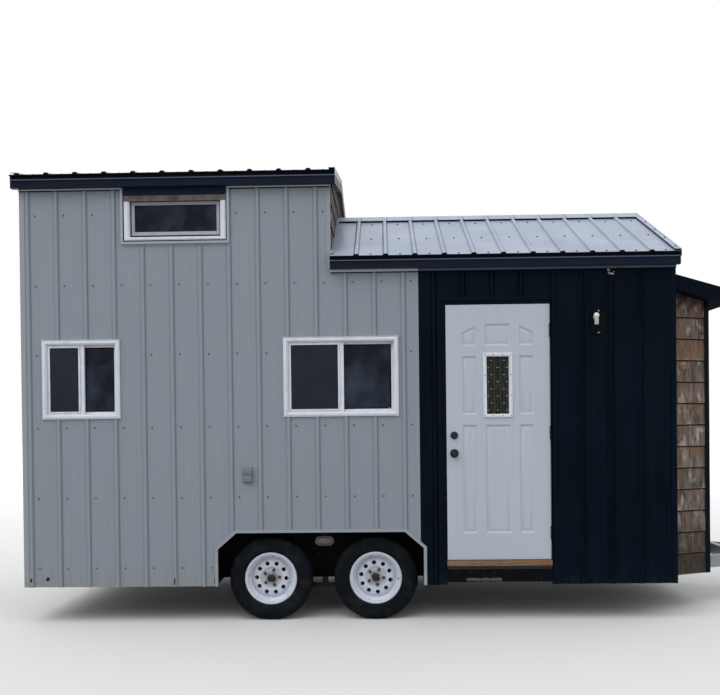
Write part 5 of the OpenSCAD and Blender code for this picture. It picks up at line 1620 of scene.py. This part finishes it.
@dataclass
class ShingleCladding:
    """All the cedar shingles, laid course by course with uneven widths and butts."""

    course_h: float = 177
    butt_t: float = 13.6
    tip_t: float = 4
    sheath_t: float = 14
    fascia_z: float = 90
    seed: int = 11

    def gable(self, eave_z: float, slope: float) -> tuple[tuple[float, float, float], ...]:
        """Gives the two cuts under a gable roof whose eaves and slope are given."""
        top = eave_z + PLAN.eave_y * slope - self.fascia_z * sqrt(1 + slope * slope) - 2
        return tuple((way * slope, 1, top) for way in (-1, 1))

    def walls(self) -> list[ShingledWall]:
        """Lists the clad faces.

        Returns:
            Three faces of the right end, three of the nose and two of the tall side wall.
        """
        turn, t0 = radians(25), self.sheath_t
        c, s, t = cos(turn), sin(turn), tan(turn)
        eave, slope, y, foot = PLAN.lower_eave_z, PLAN.lower_slope, PLAN.nose_y0, PLAN.skirt_z
        core = PLAN.nose_l - t0
        across, ahead = (0, 1, 0), (1, 0, 0)
        end = ((PLAN.body_l - t0, 0, 0), across, ahead)
        gable = self.gable(eave, slope)
        walls = [ShingledWall(*end, *ends, foot, 3300, gable) for ends in ((-1212, -y - 2), (y + 2, 1212))]
        walls.append(ShingledWall(*end, -y, y, 2586, 3300, (*gable, (0, -1, -PLAN.nose_top_z - 3))))
        roof_z = PLAN.nose_top_z - PLAN.nose_roof_t - 2
        half = y - core * t - t0 / c - t0
        rail = (PLAN.ball_x - PLAN.body_l - PLAN.nose_l) * t
        notches = ((rail - 33, rail + 39, 407), (-rail - 39, 33 - rail, 407))
        front_z = roof_z - PLAN.nose_l * PLAN.nose_slope
        nose = ((PLAN.body_l + core, 0, 0), across, ahead)
        walls.append(ShingledWall(*nose, -half, half, foot, front_z, notches=notches))
        under = ((PLAN.nose_slope * c, 1, roof_z),)
        for sign in (-1, 1):
            start = (PLAN.body_l, sign * (y - t0 / c), 0)
            run, out = (c, -sign * s, 0), (s, sign * c, 0)
            walls.append(ShingledWall(start, run, out, 8, core / c - 12, foot, 2700, under))
        top = self.gable(PLAN.tall_eave_z, PLAN.tall_slope)
        foot = eave + PLAN.eave_y * slope + 32
        for sign, low, high in ((-1, -1214, 0), (1, 0, 1214)):
            cuts = (*top, (-sign * slope, -1, -foot))
            walls.append(ShingledWall((PLAN.tall_l, 0, 0), across, ahead, low, high, 2763, 3760, cuts))
        return walls

    def lay(self, shape: Shape, wall: ShingledWall, rng: random.Random) -> None:
        """Lays the courses of one wall.

        Args:
            shape: Takes the shingles.
            wall: The face to clad.
            rng: Seeded source of the unevenness.
        """
        z = wall.z0
        while z < wall.z1:
            u = wall.u0 - rng.uniform(0, 90)
            while u < wall.u1:
                width = rng.uniform(*wall.widths)
                gap = rng.uniform(1.5, 4)
                left, right = max(u, wall.u0), min(u + width - gap, wall.u1)
                if right - left > 18:
                    shape.tone = rng.random()
                    drop = rng.uniform(-3, 8)
                    skew = rng.uniform(-3.5, 3.5)
                    if z == wall.z0:
                        drop = skew = 0
                    top = z + self.course_h + 20
                    outline = [(left, z - drop - skew), (right, z - drop + skew), (right, top), (left, top)]
                    for part in self.trimmed(outline, wall):
                        self.shingle(shape, wall, part, z, self.butt_t - rng.uniform(0, 2.5))
                u += width
            z += self.course_h

    def trimmed(self, outline: Outline, wall: ShingledWall) -> list[Outline]:
        """Cuts a shingle out of the wall's notches and down to the wall's outline.

        Args:
            outline: Its corners along the wall and upwards.
            wall: Its wall.

        Returns:
            The parts that are left.
        """
        parts = [outline]
        for start, end, top in wall.notches:
            split = []
            for part in parts:
                inner = half_plane_cut(half_plane_cut(part, -1, 0, -start), 1, 0, end)
                split += [half_plane_cut(part, 1, 0, start), half_plane_cut(part, -1, 0, -end),
                          half_plane_cut(inner, 0, -1, -top)]
            parts = [part for part in split if len(part) > 2]
        for cut in (*wall.cuts, (0, 1, wall.z1)):
            cut_parts = [half_plane_cut(part, *cut) for part in parts]
            parts = [part for part in cut_parts if len(part) > 2]
        return parts

    def shingle(self, shape: Shape, wall: ShingledWall, outline: Outline, z: float, butt: float) -> None:
        """Adds one shingle, thick at its butt and thin under the next course.

        Args:
            shape: Takes the shingle.
            wall: Its wall.
            outline: Its corners along the wall and upwards.
            z: Height of its course.
            butt: Its thickness there.
        """
        origin, run, out = Vector(wall.origin), Vector(wall.run), Vector(wall.out)
        back, front = [], []
        for u, v in outline:
            spot = origin + run * u + Vector((0, 0, v))
            share = min(max((v - z) / self.course_h, 0), 1.1)
            back.append(spot + out * 0.3)
            front.append(spot + out * max(butt + (self.tip_t - butt) * share, 1.2))
        shape.loft([back, front])

    def build(self) -> None:
        """Builds the cladding of the right end, of the nose and of the tall side as three pieces."""
        walls = self.walls()
        for name, chosen, seed, finish in (
            ("end", walls[:3], 1, CEDAR),
            ("nose", walls[3:6], 2, CEDAR),
            ("tall_side", walls[6:], 3, CEDAR_HIGH),
        ):
            shape = Shape()
            rng = random.Random(self.seed * seed)
            for wall in chosen:
                self.lay(shape, wall, rng)
            shape.build(f"cedar_shingles_{name}", finish, smooth=20, stands_for=("cedar_shingles",),
                        slot="cedar")


@dataclass
class TrailerWheel:
    """One wheel: a treaded tyre and the fittings of its rim."""

    name: str
    rider: Rider
    x: float
    side: Side
    turn: float
    tyre_r: float = 330
    rim_r: float = 208
    middle_y: float = 1057.5
    pitches: int = 60
    lug_ring_r: float = 62

    def spot(self, radius: float, angle: float, along: float) -> Vector:
        """Gives a point of the wheel: radius, angle in radians from the top, outward distance."""
        y = self.side.value * (self.middle_y + along)
        return Vector((self.x + radius * sin(angle), y, self.tyre_r + radius * cos(angle)))

    def tyre_profile(self) -> list[tuple[float, float, float]]:
        """Lists the points of the tyre's section.

        Returns:
            Radius, outward distance and depth of the cross grooves, from bead to bead.
        """
        r, w = self.rim_r, self.tyre_r
        half = [
            (r - 17.2, 52, 0), (r - 17.2, 77), (r + 1.4, 77.9), (r + 4, 81.5), (r + 8, 87), (r + 17, 93.5),
            (r + 22, 97.5), (r + 25, 99.5), (r + 28, 98.5), (r + 40, 101), (r + 55, 102.3), (r + 70, 102.3),
            (r + 71.5, 103.1), (r + 74, 103.1), (r + 75.5, 102), (r + 86, 100.4), (r + 96, 96.8),
            (r + 98, 97.5), (r + 101, 96.6), (r + 103, 94.2), (w - 13, 91.5, 2), (w - 7, 88.5, 6),
            (w - 2.5, 85, 7), (w - 0.6, 80, 7), (w, 74, 7), (w, 66, 7), (w - 9, 64), (w - 9, 56),
            (w, 54, 3), (w, 41, 0), (w, 28, 3), (w - 9, 26), (w - 9, 18), (w, 16, 2),
        ]
        full = [(p[0], p[1], p[2] if len(p) > 2 else 0.0) for p in half]
        return full + [(a, -b, c) for a, b, c in reversed(full)]

    def tyre(self) -> None:
        """Builds the tyre with blocks cut into its shoulders."""
        shape = Shape()
        profile = self.tyre_profile()
        step = tau / self.pitches
        turns = [(i * step + o * step, d) for i in range(self.pitches)
                 for o, d in ((0, 1), (0.1, 0), (0.55, 0), (0.9, 0), (0.98, 1))]
        loops = []
        for radius, along, cut in profile:
            sweep = 0.012 * (abs(along) - 40) / 40
            loops.append([self.spot(radius - cut * d, a + sweep, along) for a, d in turns])
        shape.loft(loops, closed=True)
        shape.build(f"tyre_rubber_{self.name}", TYRE, self.rider, smooth=38,
                    stands_for=(f"tyre_{self.name}",), slot="tyre")

    def fittings(self) -> None:
        """Builds the hex nuts on their seats, the hub's cap and nut, the drum's edge and the valve."""
        nuts, valve, drum = Shape(), Shape(), Shape()
        out = (0, self.side.value, 0)
        ring = ((80, 24.2), (127, 24.2), (127, 24.9), (80, 24.9))
        turns = [tau * k / 48 for k in range(48)]
        drum.loft([[self.spot(radius, a, along) for a in turns] for radius, along in ring], closed=True)
        drum.build(f"brake_drum_{self.name}", TRAILER_STEEL, self.rider, slot="black_steel")
        nut = ((13.6, 29.4), (13.6, 31), (12.2, 31.4), (12.2, 44.5), (10.6, 46), (6.4, 46.2), (6.4, 50),
               (5.4, 52.6), (0, 52.6))
        for i in range(5):
            foot = self.spot(self.lug_ring_r, radians(self.turn + 13 + 72 * i), 0)
            nuts.turned(nut, foot, out, 6, start=i * 11)
        cap = ((32, 29), (32, 33), (31, 35), (30.8, 57), (28, 61.4), (24, 63), (22.5, 59), (15, 58.6),
               (14, 64.5), (10, 66), (9, 61.4), (0, 61.4))
        nuts.turned(cap, self.spot(0, 0, 0), out, 40)
        angle = radians(self.turn + (4 if self.x < PLAN.axle_mid_x else 10))
        seat, tip = self.spot(176, angle, 34), self.spot(179, angle, 74)
        stem = ((8.5, 0), (8, 4), (5.6, 8), (4.2, 26), (4.6, 27), (4.6, 36), (3.6, 38), (0, 38))
        valve.turned(stem, seat, tip - seat, 14)
        nuts.build(f"wheel_nuts_{self.name}", HUB_STEEL, self.rider, smooth=30, slot="rim_paint")
        valve.build(f"tyre_valve_{self.name}", GASKET, self.rider, slot="tyre")

    def build(self) -> None:
        """Builds the tyre and the fittings."""
        self.tyre()
        self.fittings()


@dataclass
class RunningGear:
    """Bolts and plates of the springs and axles under the house."""

    spring_y: float = 876
    beam_z: float = 225
    beam_r: float = 30
    bolt_r: float = 6
    grip: float = 29
    eye_z: float = 233

    def build(self) -> None:
        """Builds the U-bolts over each axle with their nuts and plates, and the eye bolts."""
        shape = Shape()
        up, low, top = (0, 0, 1), self.beam_z - self.beam_r - 26, self.beam_z + self.beam_r - 6
        bend = [(self.grip * cos(pi * k / 10), top + 18 * sin(pi * k / 10)) for k in range(11)]
        path = [(-self.grip, low), *((-u, z) for u, z in bend), (self.grip, low)]
        for y in (side.value * self.spring_y for side in Side):
            for x in (PLAN.axle_mid_x + axle * PLAN.wheelbase / 2 for axle in (-1, 1)):
                for off in (-34, 34):
                    shape.rod([(x + off, y + u, z) for u, z in path], self.bolt_r)
                    for foot in (y - self.grip, y + self.grip):
                        shape.turned(((10.5, 0), (10.5, 9), (9, 10.5)), (x + off, foot, low + 2), up, 6)
                shape.block((x - 50, y - 40, low + 5), (x + 50, y + 40, low + 13))
                for eye_x in (x + end * (PLAN.wheelbase / 2 - 99) for end in (-1, 1)):
                    for s in (-1, 1):
                        shape.turned(((13, 0), (13, 3), (11, 3), (11, 10), (9, 11.5)),
                                     (eye_x, y + s * 22.5, self.eye_z), (0, s, 0), 6)
        shape.build("spring_bolts", AXLE_STEEL, slot="black_steel", bevel=0.8)


@dataclass
class TongueGear:
    """Bolts of the coupler and of the jack's plate, and the jack's collars."""

    jack_x: float = 6430
    rail_top: float = 405

    def build(self) -> None:
        """Builds the jack's bolts and collars and the coupler's bolts."""
        bolts, up = Shape(), (0, 0, 1)
        spots = [(self.jack_x + u, v) for u, v in ((-50, -38), (-50, 38), (50, -32), (50, 32))]
        for u in (-190, -120):
            reach = -u * tan(radians(25)) * 0.62
            spots += [(PLAN.ball_x + u, reach), (PLAN.ball_x + u, -reach)]
        bolt = ((11, 0), (11, 2), (9, 2), (9, 8), (7.5, 9.5))
        for x, y in spots:
            bolts.turned(bolt, (x, y, self.rail_top + 8), up, 6)
        bolts.turned(((41, 0), (43, 3), (43, 14), (41, 17)), (self.jack_x, 0, self.rail_top + 10), up, 36)
        bolts.turned(((33.4, 0), (34, 1), (34, 8), (33.4, 9)), (self.jack_x, 0, 152), up, 36)
        bolts.build("tongue_bolts", SCREW_ZINC, slot="grey_steel", bevel=0.5)


def oval_loop(centre: Point, w: float, h: float, inset: float) -> list[Vector]:
    """Gives an upright loop with round ends.

    Args:
        centre: Its middle.
        w: Width.
        h: Height.
        inset: How much smaller it is made all round.

    Returns:
        Its 28 points.
    """
    r = min(w, h) / 2 - inset
    shift = Vector((max(w - h, 0) / 2, 0, max(h - w, 0) / 2))
    start = -pi / 2 if w > h else 0
    turns = [start + pi * (k + 0.5) / 14 for k in range(28)]
    return [
        Vector(centre) + shift * (1 if k < 14 else -1) + Vector((r * cos(t), 0, r * sin(t)))
        for k, t in enumerate(turns)
    ]


@dataclass
class WallLamp:
    """The porch lamp: an oval dished plate with a bare bulb in its holder."""

    x: float = 4559.3
    z: float = 2336
    w: float = 120
    h: float = 220

    def build(self) -> None:
        """Builds the plate, the bulb with its holder, and the two fixing screws."""
        plate, bulb, holder = Shape(), Shape(), Shape()
        face = -PLAN.half_w
        rows = ((0, 0), (0, 6), (2, 9), (6, 12), (10, 13), (14, 11.5), (18, 8.5), (24, 7.5), (40, 7))
        plate.loft([oval_loop((self.x, face - p, self.z), self.w, self.h, i) for i, p in rows])
        top = self.z + (self.h - self.w) / 2
        x, up, out = self.x - 22, (0, 0, 1), (0, -1, 0)
        socket = ((20, 0), (20, 5), (15, 8), (12, 20), (12, 30))
        holder.turned(socket, (x, face - 6, top - 12), out, 24)
        sleeve = ((0, 0), (15.5, 0), (16.5, 2), (16.5, 50), (15, 53), (13, 53))
        holder.turned(sleeve, (x, face - 40, top - 72), up, 28)
        glass = ((0, 0), (8, 1), (14, 5), (19, 11), (21.5, 18), (22, 25), (20, 33), (15, 40), (8, 44),
                 (0, 45))
        bulb.turned(glass, (x, face - 38, top - 24), up, 32)
        screws = SidingScrews(washer_r=5.5, head_r=3.6)
        for z in (self.z - 82, self.z + 88):
            screws.screw(holder, (self.x, face - 8, z), out)
        plate.build("wall_lamp_plate", LAMP_PAINT, stands_for=("wall_lamp",), slot="lamp_black", smooth=40)
        holder.build("wall_lamp_holder", SLEEVE, slot="vinyl", smooth=45)
        bulb.build("wall_lamp_bulb", BULB, slot="vinyl", smooth=60)


@dataclass
class OutletCover:
    """The weatherproof outlet: a cast box with two flip lids."""

    x: float = 1754
    z: float = 1101
    w: float = 78
    h: float = 127
    depth: float = 40

    def build(self) -> None:
        """Builds the box, its two lids, their hinge barrel and spring ears."""
        shape = Shape()
        x0, x1, z0, z1 = self.x, self.x + self.w, self.z, self.z + self.h
        shape.dished((x0, x1, z0, z1), [(0, 0), (0, 3), (4, 5), (7, 5), (7, 26), (9, 28)])
        lid = [(0, 24), (0, 33), (3, 36), (9, 37.5), (14, self.depth - 1), (22, self.depth)]
        for foot, top in ((z0 + 8, z0 + 56), (z0 + 66, z1 - 8)):
            shape.dished((x0 + 5, x1 - 5, foot, top), lid)
        face = -PLAN.half_w
        barrel = (x0 + 5, face - 31, (z0 + z1) / 2 - 2)
        shape.turned(((4.5, 0), (5, 1), (5, 67), (4.5, 68)), barrel, (1, 0, 0), 16)
        for z in (z0 + 22, z1 - 34):
            shape.block((x1 - 8, face - 34, z), (x1 + 3, face - 22, z + 14))
        shape.build("outlet_cover", OUTLET_CAST, stands_for=("outlet_box",), slot="grey_plastic", bevel=1.2)


@dataclass
class WearMarks:
    """Torn holes at the foot of the grey sheets, a nest's remains and grime under the door."""

    holes: tuple[Box, ...] = ((186, 348, 13, 13), (58, 342, 7, 15), (1203, 326, 5, 24), (1517, 326, 6, 20))
    proud: Box = (0, 15, 15, 0)
    nest: Point = (4656, 1236, 2738)
    grime: Box = (3510, 3790, 305, 338)
    seed: int = 5

    def build(self) -> None:
        """Builds the torn edges with a black dish behind them that paints the shade in the holes, the lumps
        of the nest and the grime.
        """
        rng = random.Random(self.seed)
        dark, lumps, grime = Shape(), Shape(), Shape()
        # Torn holes: their black is the painted shade of the cavity behind the sheet
        for (x, z, w, h), proud in zip(self.holes, self.proud):
            turns = [(tau * k / 14, rng.uniform(0.8, 1.15)) for k in range(14)]
            rows = ((1.15, -0.3), (1.08, 1.4), (0.9, 0.5), (0.3, 0.4))
            dark.loft([[(x + w * r * f * cos(a), -PLAN.half_w - proud - v, z + h * r * f * sin(a))
                        for a, r in turns] for f, v in rows])
        x, y, z = self.nest
        for _ in range(9):
            spot = (x + rng.uniform(-26, 26), -y + rng.uniform(-3, 3), z + rng.uniform(-30, 26))
            r = rng.uniform(4, 9)
            lump = ((0, -r), (r * 0.7, -r * 0.7), (r, 0), (r * 0.7, r * 0.7), (0, r))
            lumps.turned(lump, spot, (0.3, 1, 0.2), 9)
        x0, x1, z0, z1 = self.grime
        edge = [(x0 + (x1 - x0) * k / 12, z1 - rng.uniform(0, 7)) for k in range(13)]
        foot = [(x, z0 + rng.uniform(0, 7)) for x, _ in reversed(edge)]
        grime.prism([(x, 0.2 - PLAN.rail_y, z) for x, z in edge + foot], (0, -1.6, 0))
        dark.build("torn_holes", GASKET, slot="grey_siding", smooth=20)
        lumps.build("nest_remains", FOAM_STRIP, slot="black_siding", smooth=50)
        grime.build("dried_mud", DRIED_MUD, slot="black_siding")


@dataclass
class MarkerLamp:
    """An oval marker lamp over the gap between the wheels, with its rubber grommet."""

    side: Side
    x: float = 2392
    z: float = 633.5
    w: float = 148
    h: float = 71

    def build(self) -> None:
        """Builds the grommet ring and the domed lens."""
        grommet, lens = Shape(), Shape()
        rows = ((0, 19.4), (0, 21.5), (2, 24), (5, 24.5), (8, 23), (9, 20), (9, 19))
        crown = ((9, 20), (9.4, 24), (12, 27.4), (17, 29.2), (24, 30), (30, 30.2))
        base = PLAN.half_w - 52
        for shape, section in ((grommet, rows), (lens, crown)):
            centres = [((self.x, self.side.value * (base + p), self.z), i) for i, p in section]
            shape.loft([oval_loop(spot, self.w, self.h, i) for spot, i in centres], caps=shape is lens)
        label = self.side.name.lower()
        grommet.build(f"marker_grommet_{label}", MARKER_RIM, slot="red_lens", smooth=50)
        lens.build(f"marker_lens_{label}", MARKER_LENS, slot="red_lens", smooth=50)


@dataclass
class NodeFinishes:
    """Puts a finish on every CAD node that shows."""

    plan: dict[Finish, str] = field(
        default_factory=lambda: {
            TRAILER_STEEL: "trailer_frame hitch_coupler wheel_wells",
            TONGUE_ZINC: "tongue_frame tongue_jack",
            AXLE_STEEL: "leaf_springs axles",
            TARRED_PLY: "floor_deck",
            PLYWOOD: "loft_floor tall_roof_deck lower_roof_deck",
            SPRUCE: "front_wall front_wall_over_door front_wall_corner back_wall left_end_wall"
            " right_end_wall tall_side_wall nose_walls",
            NOSE_PAINT: "nose_roof",
            GREY_SHEET: "grey_siding",
            BLACK_SHEET: "black_siding",
            CEDAR: "cedar_shingles",
            ROOF_SHEET: "roof_metal",
            EAVE_METAL: "roof_trim",
            GREY_FOLD: "grey_trim",
            BLACK_FOLD: "black_trim",
            VINYL: "window_frames",
            PANE: "window_glass",
            LAMP_PAINT: "door_frame wall_lamp",
            SILL_PINE: "door_sill",
            OUTLET_CAST: "outlet_box",
            GASKET: "marker_lamps",
            DOOR_ENAMEL: "door_slab",
            DOOR_GLASS: "door_glass",
            BRONZE: "door_hardware door_hinges",
        }
    )

    def build(self) -> None:
        """Assigns the finishes, with the wheels' own enamel for each axle."""
        chosen = {name: finish for finish, names in self.plan.items() for name in names.split()}
        for ends, axle in (("left", -1), ("right", 1)):
            x = (PLAN.axle_mid_x + axle * PLAN.wheelbase / 2 - LEFT_TO_MIDDLE) / 1000
            enamel = WheelEnamel(f"stove_enamel_{ends}", "#c6ccd6", 0.3, axle_x=x)
            for side in ("front", "back"):
                chosen[f"rim_{side}_{ends}"] = enamel
                chosen[f"tyre_{side}_{ends}"] = TYRE
        for name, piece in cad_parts.items():
            material = chosen[name].material()
            piece.data.materials.clear()
            piece.data.materials.append(material)
            LOG.info("%s: %s", name, material.name)


@dataclass
class Studio:
    """Pale floor, white surroundings, soft light and the photograph's camera."""

    floor_half: float = 60.0
    horizon: float = 0.9
    zenith: float = 1.15
    lamp: float = 0.9
    eye: Point = (-0.5140, -8.9128, 1.593)
    focal_px: float = 976.0
    shift_px: float = 82.5
    yaw: float = 1.423
    pitch: float = -0.61
    roll: float = 0.633

    def floor(self) -> None:
        """Builds the floor, darker under the house and white far away."""
        mesh = bpy.data.meshes.new("studio_floor")
        h = self.floor_half
        mesh.from_pydata([(-h, -h, 0), (h, -h, 0), (h, h, 0), (-h, h, 0)], [], [(0, 1, 2, 3)])
        material = bpy.data.materials.new("matt_painted_floor")
        material.use_nodes = True
        p = Pattern(material.node_tree, material.node_tree.nodes["Principled BSDF"])
        p.shader.inputs["Roughness"].default_value = 0.9
        far = add_node(p.tree, "VectorMath", {0: p.place()}, operation="LENGTH").outputs["Value"]
        pale = p.mix(p.ramp(far, 5.0, 22.0), "#dcdad7", "#f7f7f7")
        p.drive("Base Color", p.mix(self.seen(p.tree), "#959595", pale))
        mesh.materials.append(material)
        floor = bpy.data.objects.new("studio_floor", mesh)
        bpy.context.scene.collection.objects.link(floor)

    def seen(self, tree: bpy.types.NodeTree) -> Socket:
        """Marks what the camera sees directly, in gloss or through glass.

        Args:
            tree: Node tree of the floor or of the world.

        Returns:
            One for such rays.
        """
        path = add_node(tree, "LightPath").outputs
        seen = path["Is Camera Ray"]
        for other in ("Is Glossy Ray", "Is Transmission Ray"):
            seen = add_node(tree, "Math", {0: seen, 1: path[other]}, operation="MAXIMUM").outputs[0]
        return seen

    def world(self) -> None:
        """Lights the object from the sky and shows white to the camera, to gloss and through glass."""
        world = bpy.data.worlds.new("studio_world")
        world.use_nodes = True
        tree = world.node_tree
        tree.nodes.clear()
        place = add_node(tree, "TexCoord").outputs["Generated"]
        height = add_node(tree, "SeparateXYZ", {0: place}).outputs[2]
        rising = add_node(tree, "MapRange", {0: height, 3: self.horizon, 4: self.zenith})
        light = add_node(tree, "Background", {0: (0.93, 0.96, 1.0, 1.0), 1: rising.outputs[0]})
        white = add_node(tree, "Background", {0: (1.0, 1.0, 1.0, 1.0)})
        inputs = {0: self.seen(tree), 1: light.outputs[0], 2: white.outputs[0]}
        mixed = add_node(tree, "MixShader", inputs)
        add_node(tree, "OutputWorld", {0: mixed.outputs[0]})
        bpy.context.scene.world = world

    def key(self) -> None:
        """Adds one wide soft sun from the upper left front."""
        data = bpy.data.lights.new("studio_key", "SUN")
        data.energy = self.lamp
        data.angle = radians(50)
        lamp = bpy.data.objects.new("studio_key", data)
        toward = Vector((0.42, 0.62, -0.9)).normalized()
        lamp.rotation_euler = toward.to_track_quat("-Z", "Y").to_euler()
        bpy.context.scene.collection.objects.link(lamp)

    def camera(self) -> None:
        """Sets the camera that the photograph was taken with."""
        turned = Matrix.Identity(3)
        for angle, axis in ((self.yaw, "Z"), (self.pitch, "X"), (self.roll, "Y")):
            turned = Matrix.Rotation(radians(-angle), 3, axis) @ turned
        right, ahead, up = turned
        data = bpy.data.cameras.new("photo_camera")
        data.sensor_fit = "HORIZONTAL"
        data.sensor_width = 36.0
        data.lens = self.focal_px * 36.0 / 720
        data.shift_y = self.shift_px / 720
        data.clip_end = 200.0
        camera = bpy.data.objects.new("photo_camera", data)
        columns = Matrix((right, up, -ahead)).transposed().to_4x4()
        camera.matrix_world = Matrix.Translation(Vector(self.eye)) @ columns
        bpy.context.scene.collection.objects.link(camera)
        bpy.context.scene.camera = camera

    def build(self) -> None:
        """Builds the whole studio."""
        self.floor()
        self.world()
        self.key()
        self.camera()
        bpy.context.scene.view_settings.view_transform = "Standard"


def main() -> None:
    """Builds every piece in order and reports it."""
    logging.basicConfig(level=logging.INFO, format="%(name)s: %(message)s")
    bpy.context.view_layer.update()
    Studio().build()
    NodeFinishes().build()
    SidingScrews().build()
    PressedBeads().build()
    RoofFittings().build()
    for side in Side:
        label = side.name.lower()
        for place, box, sliding in zip(("left", "right", "loft"), WINDOW_BOXES, (True, True, False)):
            window = VinylWindow(f"window_{label}_{place}", box, side, sliding)
            if not sliding:
                window.box = (box[0], box[1], box[2] + 10, box[3] - 10)
                window.liner, window.sash_t = 18, 30
            window.build()
        MarkerLamp(side).build()
    EntryDoor().build()
    ShingleCladding().build()
    for axle, end in ((-1, "left"), (1, "right")):
        for side in Side:
            label = f"{side.name.lower()}_{end}"
            x = PLAN.axle_mid_x + axle * PLAN.wheelbase / 2
            TrailerWheel(label, Rider(f"wheel_{label}"), x, side, 2 if axle < 0 else 83).build()
    RunningGear().build()
    TongueGear().build()
    WallLamp().build()
    OutletCover().build()
    WearMarks().build()


if __name__ == "__main__":
    main()
